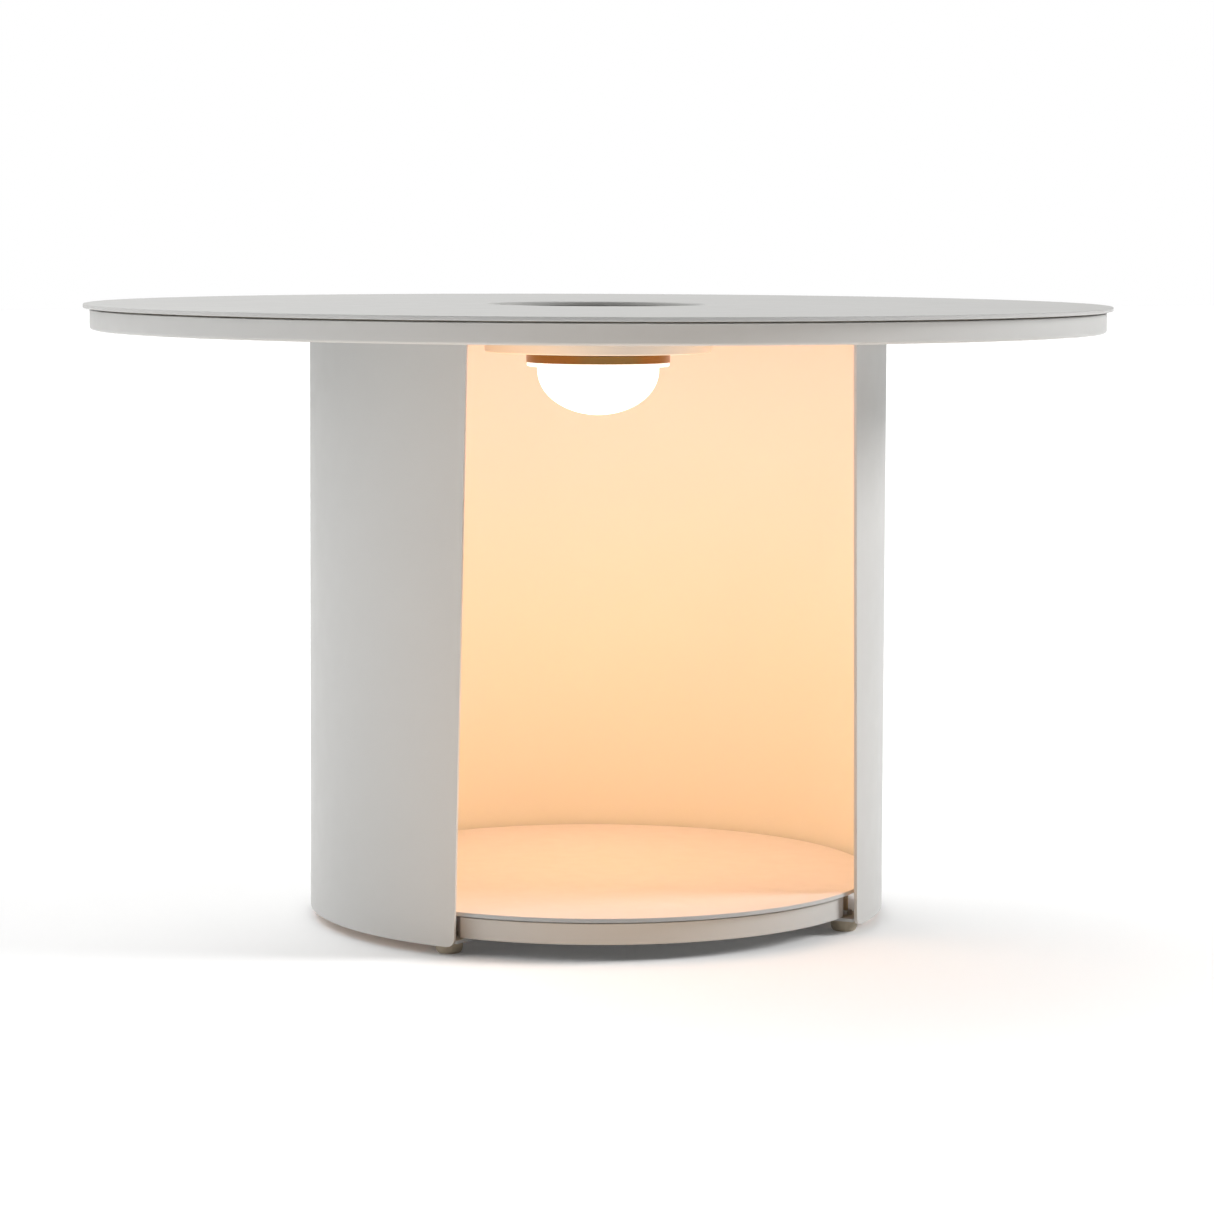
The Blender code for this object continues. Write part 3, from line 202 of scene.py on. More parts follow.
class TableFinishes(bpy.types.PropertyGroup):
    paint: colour("Paint", "Light grey powder coat", (0.52, 0.517, 0.504))
    brass: colour("Brass", "Brushed brass", (0.28, 0.155, 0.048))
    opal: colour("Opal", "Body colour of the shade", (0.95, 0.93, 0.88))
    glow: colour("Glow", "Colour of the lit shade", (1.0, 0.93, 0.86))
    glow_strength: factor("Glow strength", "Emission of the lit shade", 1.4)
    glide: colour("Glide", "Moulded feet", (0.44, 0.37, 0.27))


class TableStudio(bpy.types.PropertyGroup):
    distance: length("Camera distance", "From the camera to the table's axis", 4.6)
    height: length("Camera height", "Height of the camera over the floor", 0.850)
    turn: angle("Camera turn", "Camera's angle from the middle of the opening", 17.2)
    yaw: angle("Camera yaw", "Aim to the right of the axis", 0.141)
    pitch: angle("Camera pitch", "Aim below the horizon", 4.041)
    roll: angle("Camera roll", "Turn about the line of sight", 0.221)
    lens: FloatProperty(name="Lens", description="Focal length in millimetres", default=111.4)
    shift: FloatProperty(name="Shift", description="Upward shift of the picture", default=-0.1)
    floor: colour("Floor", "Pale floor", (0.96, 0.96, 0.96))


def sizes():
    return bpy.context.scene.table_sizes


def finishes():
    return bpy.context.scene.table_finishes


def studio():
    return bpy.context.scene.table_studio


# Modelling steps that the pieces share

def start_edit():
    bpy.ops.object.mode_set(mode="EDIT")


def end_edit():
    bpy.ops.object.mode_set(mode="OBJECT")


def select_nothing():
    bpy.ops.object.select_all(action="DESELECT")


def select_mesh():
    bpy.ops.mesh.select_all(action="SELECT")


def one_vertex(place):
    """Merges the selected plane to its middle and moves that to a place."""
    bpy.ops.mesh.merge(type="CENTER")
    bpy.ops.transform.translate(value=place)


def extrude_through(points):
    for before, after in zip(points, points[1:]):
        step = Vector(after) - Vector(before)
        bpy.ops.mesh.extrude_region_move(TRANSFORM_OT_translate={"value": step})


def merge_doubles():
    select_mesh()
    bpy.ops.mesh.remove_doubles(threshold=NEAR / 2)


def face_out():
    select_mesh()
    bpy.ops.mesh.normals_make_consistent(inside=False)


def round_corners(piece, spots, radius, segments):
    """Bevels the vertices that lie on these spots, and no others."""
    bpy.ops.mesh.select_mode(type="VERT")
    bpy.ops.mesh.select_all(action="DESELECT")
    for vertex in bmesh.from_edit_mesh(piece.data).verts:
        if any((vertex.co - spot).length < NEAR for spot in spots):
            vertex.select_set(True)
    bmesh.update_edit_mesh(piece.data)
    bpy.ops.mesh.bevel(offset=radius, segments=segments, affect="VERTICES", clamp_overlap=False)


def trace(name, corners, closed=True):
    """A section or outline of edges, left in edit mode. Each corner is a place and its rounding."""
    points = [Vector(place) for place, _ in corners]
    select_nothing()
    bpy.ops.mesh.primitive_plane_add(size=1)
    piece = bpy.context.object
    piece.name = piece.data.name = name
    start_edit()
    one_vertex(points[0])
    extrude_through(points + points[:1] if closed else points)
    merge_doubles()
    for radius in sorted({rounding for _, rounding in corners if rounding}):
        spots = [Vector(place) for place, rounding in corners if rounding == radius]
        round_corners(piece, spots, radius, sizes().round_steps)
    select_mesh()
    return piece


def turned(name, corners, steps, closed=True, place=(0, 0), start=0.0, sweep=FULL_TURN):
    """A section of (radius, height, rounding) corners, spun about an upright axis.
    A part turn starts at an angle from the front, positive towards +X, and has closed ends."""
    x, y = place
    across = (1, 0) if sweep == FULL_TURN else (sin(start), -cos(start))
    section = [((x + r * across[0], y + r * across[1], h), rounding) for r, h, rounding in corners]
    piece = trace(name, section, closed)
    if sweep != FULL_TURN:
        bpy.ops.mesh.edge_face_add()
    bpy.ops.mesh.spin(steps=steps, angle=-sweep, center=(x, y, 0), axis=(0, 0, 1))
    merge_doubles()
    face_out()
    end_edit()
    return piece


def small_turned(name, corners, place=(0, 0)):
    """A small solid, spun from a section that starts and ends on its axis."""
    return turned(name, corners, sizes().small_steps, False, place)


def band(outer, inner, low, high, outer_round=0, inner_round=0):
    """A section with four corners, which are rounded alike outside and alike inside."""
    return [(outer, high, outer_round), (outer, low, outer_round),
            (inner, low, inner_round), (inner, high, inner_round)]


def quarter(radius, height, across, down, steps):
    """Corners along a quarter ellipse, from its widest place to short of its lowest."""
    angles = [step * pi / (2 * steps) for step in range(steps)]
    return [(radius + across * cos(turn), height - down * sin(turn), 0) for turn in angles]


def make_active(piece):
    select_nothing()
    piece.select_set(True)
    bpy.context.view_layer.objects.active = piece


def modify(piece, kind, **settings):
    """Adds a modifier with these settings and applies it."""
    make_active(piece)
    bpy.ops.object.modifier_add(type=kind)
    modifier = piece.modifiers[-1]
    for name, value in settings.items():
        setattr(modifier, name, value)
    bpy.ops.object.modifier_apply(modifier=modifier.name)


def boolean(piece, tool, operation="DIFFERENCE"):
    modify(piece, "BOOLEAN", operation=operation, solver="EXACT", object=tool)
    bpy.data.objects.remove(tool, do_unlink=True)
    return piece


def drill(piece, place, radius, level):
    """Cuts a round hole through the sheet at a level."""
    low, high = level - DRILL_REACH, level + DRILL_REACH
    corners = [(0, low, 0), (radius, low, 0), (radius, high, 0), (0, high, 0)]
    boolean(piece, small_turned("drill", corners, place))


def round_edges(piece, segments=2, limit=60):
    modify(piece, "BEVEL", width=sizes().cut_round, segments=segments, limit_method="ANGLE",
           angle_limit=radians(limit), use_clamp_overlap=True)


def hexagon(corner, height, centre):
    """A six-sided prism."""
    select_nothing()
    bpy.ops.mesh.primitive_cylinder_add(vertices=6, radius=corner, depth=height, location=centre)
    bpy.ops.object.transform_apply(location=True, rotation=True, scale=True)
    return bpy.context.object


def copied(piece, name, matrix):
    """A copy with its own mesh, moved in the mesh."""
    twin = piece.copy()
    twin.data = piece.data.copy()
    twin.name = twin.data.name = name
    twin.data.transform(matrix)
    bpy.context.scene.collection.objects.link(twin)
    return twin


def finish(piece, nodes, slot="paint", body="table"):
    """Shades a piece, gives it its slot's finish and sets it on its body in place of CAD nodes."""
    make_active(piece)
    bpy.ops.object.shade_smooth_by_angle(angle=SMOOTH_ANGLE)
    modify(piece, "WEIGHTED_NORMAL", keep_sharp=True)
    piece.data.materials.clear()
    piece.data.materials.append(finish_named(SLOT_FINISHES[slot]))
    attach(piece, body)
    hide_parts(*nodes)


def finish_eight(piece, name, node=None, slot="paint"):
    """Copies a piece round the table's axis to make eight, and finishes them."""
    ring = [piece]
    for index in range(1, 8):
        turn = Matrix.Rotation(index * FULL_TURN / 8, 4, "Z")
        ring.append(copied(piece, "%s_%d" % (name, index + 1), turn))
    piece.name = name + "_1"
    for number, entry in enumerate(ring, 1):
        finish(entry, ["%s_%d" % (node, number)] if node else [], slot)


def levels(node):
    """A node's lowest and highest point, and its reach along +X."""
    low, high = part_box(node)
    return low.z, high.z, high.x


def middle(node):
    low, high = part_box(node)
    return (low.x + high.x) / 2, (low.y + high.y) / 2


# Finishes

class Nodes:
    """Shorter ways to fill a node tree."""

    def __init__(self, tree):
        self.tree = tree

    def add(self, kind, **settings):
        node = self.tree.nodes.new(kind)
        for name, value in settings.items():
            setattr(node, name, value)
        return node

    def link(self, source, target):
        self.tree.links.new(source, target)

    def feed(self, socket, value):
        """Gives a socket a number, or links an output to it."""
        if hasattr(value, "is_output"):
            self.link(value, socket)
        else:
            socket.default_value = value

    def math(self, operation, first, second):
        node = self.add("ShaderNodeMath", operation=operation)
        self.feed(node.inputs[0], first)
        self.feed(node.inputs[1], second)
        return node.outputs[0]


class Finish(Nodes):
    """A Principled material and the nodes that feed it."""

    def __init__(self, name):
        self.material = bpy.data.materials.new(name)
        self.material.use_nodes = True
        super().__init__(self.material.node_tree)
        self.shader = self.tree.nodes["Principled BSDF"]
        self.places = self.add("ShaderNodeTexCoord").outputs["Object"]

    def set(self, **values):
        for name, value in values.items():
            self.shader.inputs[name.replace("_", " ")].default_value = value

    def stretched(self, scale):
        """Object coordinates scaled along each axis."""
        mapping = self.add("ShaderNodeMapping")
        mapping.inputs["Scale"].default_value = scale
        self.link(self.places, mapping.inputs["Vector"])
        return mapping.outputs["Vector"]

    def split(self):
        """Object coordinates as three numbers."""
        parts = self.add("ShaderNodeSeparateXYZ")
        self.link(self.places, parts.inputs[0])
        return parts.outputs

    def round_places(self, along, across, up):
        """Coordinates that run round the upright axis, outwards from it and up."""
        parts = self.split()
        turn = self.math("ARCTAN2", parts["Y"], parts["X"])
        flat = self.add("ShaderNodeCombineXYZ")
        self.link(parts["X"], flat.inputs["X"])
        self.link(parts["Y"], flat.inputs["Y"])
        reach = self.add("ShaderNodeVectorMath", operation="LENGTH")
        self.link(flat.outputs[0], reach.inputs[0])
        joined = self.add("ShaderNodeCombineXYZ")
        values = (turn, reach.outputs["Value"], parts["Z"])
        for socket, value, scale in zip(joined.inputs, values, (along, across, up)):
            self.link(self.math("MULTIPLY", value, scale), socket)
        return joined.outputs[0]

    def noise(self, scale, detail=2.0, roughness=0.5, places=None):
        texture = self.add("ShaderNodeTexNoise")
        texture.inputs["Scale"].default_value = scale
        texture.inputs["Detail"].default_value = detail
        texture.inputs["Roughness"].default_value = roughness
        self.link(places or self.places, texture.inputs["Vector"])
        return texture.outputs["Fac"]

    def between(self, value, low, high, from_low=0.3, from_high=0.7):
        """Maps a pattern's values to a range."""
        node = self.add("ShaderNodeMapRange")
        for name, number in (("From Min", from_low), ("From Max", from_high),
                             ("To Min", low), ("To Max", high)):
            node.inputs[name].default_value = number
        self.link(value, node.inputs["Value"])
        return node.outputs["Result"]

    def mixed(self, share, first, second):
        """Two colours mixed by a share."""
        node = self.add("ShaderNodeMix", data_type="RGBA")
        self.link(share, node.inputs["Factor"])
        sockets = [entry for entry in node.inputs if entry.type == "RGBA"]
        for socket, value in zip(sockets, (first, second)):
            self.feed(socket, value if hasattr(value, "is_output") else (*value, 1))
        return [entry for entry in node.outputs if entry.type == "RGBA"][0]

    def toned(self, pattern, first, second):
        """Two colours mixed by a pattern."""
        return self.mixed(self.between(pattern, 0, 1), first, second)

    def colour(self, source, socket="Base Color"):
        self.link(source, self.shader.inputs[socket])

    def roughness(self, pattern, low, high):
        self.link(self.between(pattern, low, high), self.shader.inputs["Roughness"])

    def bumps(self, *layers):
        """Bump layers of (pattern, strength, depth in metres), each on the one before."""
        normal = None
        for pattern, strength, depth in layers:
            bump = self.add("ShaderNodeBump")
            bump.inputs["Strength"].default_value = strength
            bump.inputs["Distance"].default_value = depth
            self.link(pattern, bump.inputs["Height"])
            if normal is not None:
                self.link(normal, bump.inputs["Normal"])
            normal = bump.outputs["Normal"]
        self.link(normal, self.shader.inputs["Normal"])

    def dress(self, pattern, tones, rough, bump, **settings):
        """Tone and roughness from one pattern, one bump layer, and the shader's other settings."""
        self.colour(self.toned(pattern, *tones))
        self.roughness(pattern, *rough)
        self.bumps(bump)
        self.set(**settings)
        return self.material


def shade(tone, amount):
    return tuple(min(1.0, channel * amount) for channel in tone)


def powder_coat():
    """Matt powder coat: a fine peel, finer grain, and faint clouds of tone and gloss."""
    look = Finish("powder_coat")
    paint = finishes().paint
    look.colour(look.toned(look.noise(3.1, 3.0), shade(paint, 0.985), shade(paint, 1.012)))
    look.roughness(look.noise(38.0), 0.46, 0.56)
    look.bumps((look.noise(620.0), 0.16, 0.00012), (look.noise(2600.0, 1.0), 0.12, 0.00004))
    look.set(Specular_IOR_Level=0.35)
    return look.material


def brushed_brass():
    """Brass brushed round the ring, with a thin lacquer and a slightly darker haze."""
    look = Finish("brushed_brass")
    brass = finishes().brass
    lines = look.noise(1.0, 4.0, 0.7, look.round_places(along=6.0, across=5200.0, up=5200.0))
    haze = look.between(look.noise(26.0, 3.0), 0, 0.35)
    base = look.toned(lines, shade(brass, 0.86), shade(brass, 1.08))
    look.colour(look.mixed(haze, base, shade(brass, 0.72)))
    look.roughness(lines, 0.26, 0.40)
    look.bumps((lines, 0.10, 0.00003))
    look.set(Metallic=1.0, Coat_Weight=0.15, Coat_Roughness=0.12)
    return look.material


def opal_plastic():
    """Lit opal: the dome glows evenly, the rim of the flange a little less."""
    look = Finish("opal_plastic")
    opal, glow = finishes().opal, finishes().glow
    cloud = look.noise(60.0)
    low = levels("opal_shade")[0]
    fade_start, fade_end = low + 0.056, low + 0.0615
    dome = look.between(look.split()["Z"], 1, 0, fade_start, fade_end)
    look.colour(look.mixed(dome, shade(glow, 0.62), tuple(glow)), "Emission Color")
    return look.dress(cloud, (shade(opal, 0.97), tuple(opal)), (0.22, 0.30),
                      (look.noise(900.0, 1.0), 0.03, 0.00003),
                      Emission_Strength=finishes().glow_strength, IOR=1.49)


def rubber(name, tone):
    look = Finish(name)
    return look.dress(look.noise(45.0, 4.0), (shade(tone, 0.85), shade(tone, 1.25)), (0.72, 0.86),
                      (look.noise(1900.0), 0.2, 0.00005))


def moulded(name, tone, rough=0.52, grain_scale=1500.0):
    """Moulded plastic with an eroded grain."""
    look = Finish(name)
    return look.dress(look.noise(70.0, 3.0), (shade(tone, 0.92), shade(tone, 1.06)),
                      (rough - 0.05, rough + 0.06), (look.noise(grain_scale, 3.0), 0.18, 0.00006))


def plated_steel():
    """Zinc plate: cool grey with faint straw and blue patches."""
    look = Finish("plated_steel")
    look.colour(look.toned(look.noise(330.0, 3.0), (0.60, 0.60, 0.56), (0.62, 0.65, 0.70)))
    look.roughness(look.noise(900.0), 0.28, 0.44)
    look.bumps((look.noise(2100.0), 0.08, 0.00003))
    look.set(Metallic=1.0)
    return look.material


def turned_aluminium():
    look = Finish("turned_aluminium")
    rings = look.noise(1.0, 3.0, places=look.round_places(along=2.0, across=2600.0, up=300.0))
    return look.dress(rings, ((0.68, 0.68, 0.70), (0.80, 0.80, 0.82)), (0.30, 0.46),
                      (rings, 0.12, 0.00003), Metallic=1.0)


def light_board():
    """White solder mask over traces, with yellow phosphor on the packages that stand proud."""
    look = Finish("light_board")
    low = levels("led_board")[0]
    traces = look.noise(1.0, 0.0, places=look.round_places(along=9.0, across=420.0, up=1.0))
    edges = look.between(traces, 0, 1, 0.49, 0.51)
    mask = look.mixed(edges, (0.80, 0.80, 0.78), (0.88, 0.88, 0.86))
    proud = look.between(look.split()["Z"], 1, 0, low + 0.0002, low + 0.0007)
    look.colour(look.mixed(proud, mask, (0.92, 0.66, 0.18)))
    look.roughness(traces, 0.40, 0.52)
    look.bumps((traces, 0.1, 0.00004))
    return look.material


def shrink_film():
    """Blue shrink film with soft wrinkles."""
    look = Finish("shrink_film")
    wrinkles = look.noise(210.0, 3.0, places=look.stretched((1.0, 0.25, 1.0)))
    return look.dress(wrinkles, ((0.07, 0.17, 0.38), (0.12, 0.26, 0.52)), (0.24, 0.38),
                      (wrinkles, 0.35, 0.0002))


def spring_wire():
    look = Finish("spring_wire")
    draw = look.noise(1400.0)
    return look.dress(draw, ((0.42, 0.43, 0.45), (0.60, 0.61, 0.63)), (0.24, 0.36),
                      (draw, 0.1, 0.00002), Metallic=1.0)


def studio_floor():
    look = Finish("studio_floor")
    cloud = look.noise(0.7)
    tone = studio().floor
    look.colour(look.toned(cloud, shade(tone, 0.995), tuple(tone)))
    look.roughness(cloud, 0.85, 0.95)
    look.set(Specular_IOR_Level=0.1, Emission_Color=(1, 1, 1, 1), Emission_Strength=0.037)
    return look.material


def finish_named(name):
    """The table's finishes, each made once."""
    made = bpy.data.materials.get(name)
    if made:
        return made
    if name in RUBBER_TONES:
        return rubber(name, RUBBER_TONES[name])
    makers = {
        "powder_coat": powder_coat,
        "brushed_brass": brushed_brass,
        "opal_plastic": opal_plastic,
        "black_moulding": lambda: moulded(name, (0.030, 0.030, 0.031)),
        "glide_moulding": lambda: moulded(name, finishes().glide, 0.5, 900.0),
        "plated_steel": plated_steel,
        "turned_aluminium": turned_aluminium,
        "light_board": light_board,
        "shrink_film": shrink_film,
        "spring_wire": spring_wire,
        "studio_floor": studio_floor,
    }
    return makers[name]()


# The pieces

def make_tabletop():
    """A flat disc with rounded edges and a softly rounded lip round the well."""
    size = sizes()
    low, high, reach = levels("tabletop")
    well = levels("well_pan")[2] - size.well_flange - size.well_sheet - WELL_OVERHANG
    section = [(reach, high, size.plate_round), (reach, low, size.plate_round),
               (well, low, size.cut_round), (well, high, size.lip_round)]
    finish(turned("tabletop_plate", section, size.large_steps), ["tabletop"])


def make_rim():
    """The folded ring under the edge, crisp at the reveal and softly folded below."""
    size = sizes()
    low, high, reach = levels("rim_frame")
    inside = reach - size.sheet
    lower_edge = reach - size.rim_lower_flange
    upper_edge = reach - size.rim_upper_flange
    inner_fold = size.fold_round - size.sheet
    section = [(reach, high, size.crisp_round), (reach, low, size.fold_round),
               (lower_edge, low, size.cut_round), (lower_edge, low + size.sheet, size.cut_round),
               (inside, low + size.sheet, inner_fold), (inside, high - size.sheet, inner_fold),
               (upper_edge, high - size.sheet, size.cut_round), (upper_edge, high, size.cut_round)]
    finish(turned("rim_ring", section, size.large_steps), ["rim_frame"])


def skirt_reach():
    """The skirt's radius, at the middle of the opening."""
    return -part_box("tray_skirt")[0].y


def make_reveal_strips():
    """Rubber strips set back in the shadow gaps under both plates. Their taupe tone, darker than
    the paint, is painted shade in the gaps.
    """
    size = sizes()
    low, high, reach = levels("edge_reveal_strip")
    section = band(reach, reach - size.reveal_width, low, high)
    strip = turned("rim_reveal", section, size.large_steps)
    finish(strip, ["edge_reveal_strip"], "dark_rubber")
    low, high, _ = levels("tray_reveal_strip")
    reach = skirt_reach()
    section = band(reach - size.tray_reveal_setback, reach - size.skirt_flange, low, high)
    half = size.skirt_half_angle
    strip = turned("tray_reveal", section, SKIRT_STEPS, start=-half, sweep=2 * half)
    finish(strip, ["tray_reveal_strip"], "dark_rubber")


def make_ribs():
    """One slotted plate on edge, copied round the hub."""
    size = sizes()
    low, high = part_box("rib_1")
    _, rim_high, rim_reach = levels("rim_frame")
    step = rim_reach - size.rim_upper_flange - RIB_CLEARANCE
    step_level = rim_high - size.sheet - SEAT_GAP
    outline = [((low.x, 0, low.z), 0), ((high.x, 0, low.z), 0), ((high.x, 0, step_level), 0),
               ((step, 0, step_level), RIB_NOTCH_ROUND), ((step, 0, high.z), 0),
               ((low.x, 0, high.z), 0)]
    piece = trace("rib_plate", outline)
    spare = step - low.x - RIB_SLOTS * size.rib_slot_length
    level = (low.z + high.z) / 2
    for index in range(RIB_SLOTS):
        first = low.x + spare / 3 + index * (size.rib_slot_length + spare / 3)
        cut_slot(piece, first, first + size.rib_slot_length, level, size.rib_slot_height / 2)
    select_mesh()
    bpy.ops.mesh.fill()
    select_mesh()
    bpy.ops.mesh.dissolve_limited(angle_limit=radians(1))
    end_edit()
    modify(piece, "SOLIDIFY", thickness=size.rib_thickness, offset=0)
    start_edit()
    face_out()
    end_edit()
    round_edges(piece, 1, 50)
    finish_eight(piece, "rib_plate", "rib")


def cut_slot(piece, first, last, level, half):
    """Adds a round-ended loop of edges to an outline that is being drawn."""
    corners = [Vector((first, 0, level - half)), Vector((last, 0, level - half)),
               Vector((last, 0, level + half)), Vector((first, 0, level + half))]
    bpy.ops.mesh.select_all(action="DESELECT")
    bpy.ops.mesh.primitive_plane_add(size=1)
    one_vertex(corners[0])
    extrude_through(corners + corners[:1])
    merge_doubles()
    round_corners(piece, corners, half * 0.999, 6)


def make_hub():
    """The ring that the ribs stand on, with a weld nut over each bolt."""
    size = sizes()
    low, nut_top, reach = levels("hub_plate")
    inner = levels("well_pan")[2] - size.well_flange + HUB_CLEARANCE
    top = low + size.hub_sheet
    section = band(reach, inner, low, top, size.cut_round, size.cut_round)
    finish(turned("hub_ring", section, size.large_steps), ["hub_plate"])
    nut = hexagon_nut("weld_nut", middle("pedestal_bolt_1"), top, nut_top, WELD_NUT,
                      WELD_NUT_BORE)
    finish_eight(nut, "weld_nut")


def hexagon_nut(name, place, low, high, corner, bore):
    """A six-sided nut with chamfered corners and a countersunk bore."""
    piece = hexagon(corner, high - low, (*place, (low + high) / 2))
    piece.name = piece.data.name = name
    chamfer = corner * 0.10
    face, beyond = corner * cos(pi / 6) * 0.97, corner * 1.01
    cone = [(0, low, 0), (face, low, 0), (beyond, low + chamfer, 0), (beyond, high - chamfer, 0),
            (face, high, 0), (0, high, 0)]
    boolean(piece, small_turned(name + "_chamfer", cone, place), "INTERSECT")
    sink = bore * 0.12
    mouth = bore + NUT_OVERSHOOT + sink
    hole = [(0, low - NUT_OVERSHOOT, 0), (mouth, low - NUT_OVERSHOOT, 0), (bore, low + sink, 0),
            (bore, high - sink, 0), (mouth, high + NUT_OVERSHOOT, 0), (0, high + NUT_OVERSHOOT, 0)]
    return boolean(piece, small_turned(name + "_bore", hole, place))


def make_well_pan():
    size = sizes()
    low, top, reach = levels("well_pan")
    outer = reach - size.well_flange
    inner = outer - size.well_sheet
    floor = low + size.well_sheet
    section = [(0, floor, 0), (inner, floor, size.well_corner), (inner, top, size.cut_round),
               (reach, top, size.cut_round), (reach, top - size.well_sheet, size.cut_round),
               (outer, top - size.well_sheet, size.cut_round),
               (outer, low, size.well_corner + size.well_sheet), (0, low, 0)]
    finish(turned("well_bowl", section, size.lamp_steps, closed=False), ["well_pan"])


def make_pedestal_wall():
    """A flat blank with slanted edges and rounded lower corners, rolled into the wall."""
    size = sizes()
    low, high, reach = levels("pedestal_wall")
    neutral = reach - size.wall_sheet / 2
    half_top = neutral * (pi - size.opening_top)
    half_bottom = neutral * (pi - size.opening_bottom)
    corner = size.wall_corner
    outline = [((-half_bottom, 0, low), corner), ((half_bottom, 0, low), corner),
               ((half_top, 0, high), 0), ((-half_top, 0, high), 0)]
    piece = trace("wall_shell", outline)
    bpy.ops.mesh.edge_face_add()
    columns = int(size.large_steps * half_top / (neutral * FULL_TURN))
    pitch = neutral * FULL_TURN / size.large_steps
    for index in range(-columns, columns + 1):
        select_mesh()
        bpy.ops.mesh.bisect(plane_co=(index * pitch, 0, 0), plane_no=(1, 0, 0))
    for share in (0.25, 0.5, 0.75):
        select_mesh()
        bpy.ops.mesh.bisect(plane_co=(0, 0, low + share * (high - low)), plane_no=(0, 0, 1))
    end_edit()
    modify(piece, "SIMPLE_DEFORM", deform_method="BEND", deform_axis="Z",
           angle=-2 * (pi - size.opening_top))
    start_edit()
    select_mesh()
    bpy.ops.transform.translate(value=(0, neutral, 0))
    face_out()
    end_edit()
    modify(piece, "SOLIDIFY", thickness=size.wall_sheet, offset=0, use_even_offset=True)
    round_edges(piece)
    finish(piece, ["pedestal_wall"])


def make_ceiling():
    """The plate that closes the pedestal, with the eight bolts that hold the top on it."""
    size = sizes()
    low, high, reach = levels("ceiling_plate")
    inner = levels("lamp_housing")[2] - size.drum_flange - size.drum_sheet
    section = band(reach, inner, low, high, size.cut_round, size.cut_round)
    finish(turned("ceiling_ring", section, size.large_steps), ["ceiling_plate"])
    bolt_low, bolt_high, _ = levels("pedestal_bolt_1")
    bolt = button_screw("pedestal_screw", middle("pedestal_bolt_1"), bolt_low, low - SEAT_GAP,
                        bolt_high, BOLT_HEAD, BOLT_SHANK)
    finish_eight(bolt, "pedestal_screw", "pedestal_bolt", "zinc")


def button_screw(name, place, low, seat, high, head, shank):
    """A screw that points up: a domed head below its seat, with a six-sided recess."""
    section = [(0, high, 0), (shank, high, shank * 0.2), (shank, seat, 0), (head, seat, 0.0002),
               (head * 0.96, seat - (seat - low) * 0.45, 0.0004), (head * 0.62, low, 0.0008),
               (0, low, 0)]
    depth = (seat - low) * 0.55
    piece = small_turned(name, section, place)
    return boolean(piece, hexagon(head * 0.40, 2 * depth, (*place, low)))


def make_lamp_housing():
    """The drum over the niche, with holes for the button and the socket, and six screws."""
    size = sizes()
    low, high, reach = levels("lamp_housing")
    drum = reach - size.drum_flange
    inner = drum - size.drum_sheet
    seat = high - size.drum_sheet
    section = [(0, low + size.drum_sheet, 0), (inner, low + size.drum_sheet, 0.0004),
               (inner, high, size.cut_round), (reach, high, size.cut_round),
               (reach, seat, size.cut_round), (drum, seat, size.cut_round),
               (drum, low, size.drum_corner), (0, low, 0)]
    piece = turned("lamp_drum", section, size.lamp_steps, closed=False)
    drill(piece, middle("push_button"), BUTTON_HOLE, low)
    drill(piece, middle("charging_socket"), SOCKET_HOLE, low)
    finish(piece, ["lamp_housing"])
    circle = (drum + reach) / 2
    for index in range(DRUM_SCREWS):
        turn = pi / DRUM_SCREWS + index * FULL_TURN / DRUM_SCREWS
        place = Vector((circle * sin(turn), -circle * cos(turn)))
        screw = button_screw("drum_screw_%d" % (index + 1), place, seat - 0.0026, seat - 0.0002,
                             high - 0.0002, SCREW_HEAD, SCREW_SHANK)
        finish(screw, [], "zinc")


def make_lamp_base():
    size = sizes()
    low, high, reach = levels("lamp_base")
    section = band(reach, LEAD_HOLE, low, high, size.cut_round, size.cut_round)
    finish(turned("lamp_base_disc", section, size.lamp_steps), ["lamp_base"])


def make_brass_ring():
    """The bayonet ring, with three inner lips and their stops."""
    size = sizes()
    low, high, reach = levels("brass_ring")
    wall, flange_edge = 0.0025, 0.066
    inner, flange = reach - wall, high - 0.002
    section = [(reach, high, 0.0006), (reach, low, 0.0006), (inner, low, 0.0003),
               (inner, flange, 0.0006), (flange_edge, flange, 0.0003), (flange_edge, high, 0.0003)]
    piece = turned("brass_bayonet", section, size.lamp_steps)
    lip_inner, root = inner - wall, inner + wall / 2
    lip_low = low + LIP_RISE
    lip = band(root, lip_inner, lip_low, lip_low + LIP_HEIGHT, 0, 0.0003)
    stop = band(root, lip_inner, lip_low, flange + 0.001)
    for index in range(LUGS):
        centre = index * FULL_TURN / LUGS
        tool = turned("lip", lip, 12, start=centre - LIP_ANGLE / 2, sweep=LIP_ANGLE)
        boolean(piece, tool, "UNION")
        tool = turned("stop", stop, 3, start=centre - STOP_TURN, sweep=STOP_ANGLE)
        boolean(piece, tool, "UNION")
    finish(piece, ["brass_ring"], "brass")


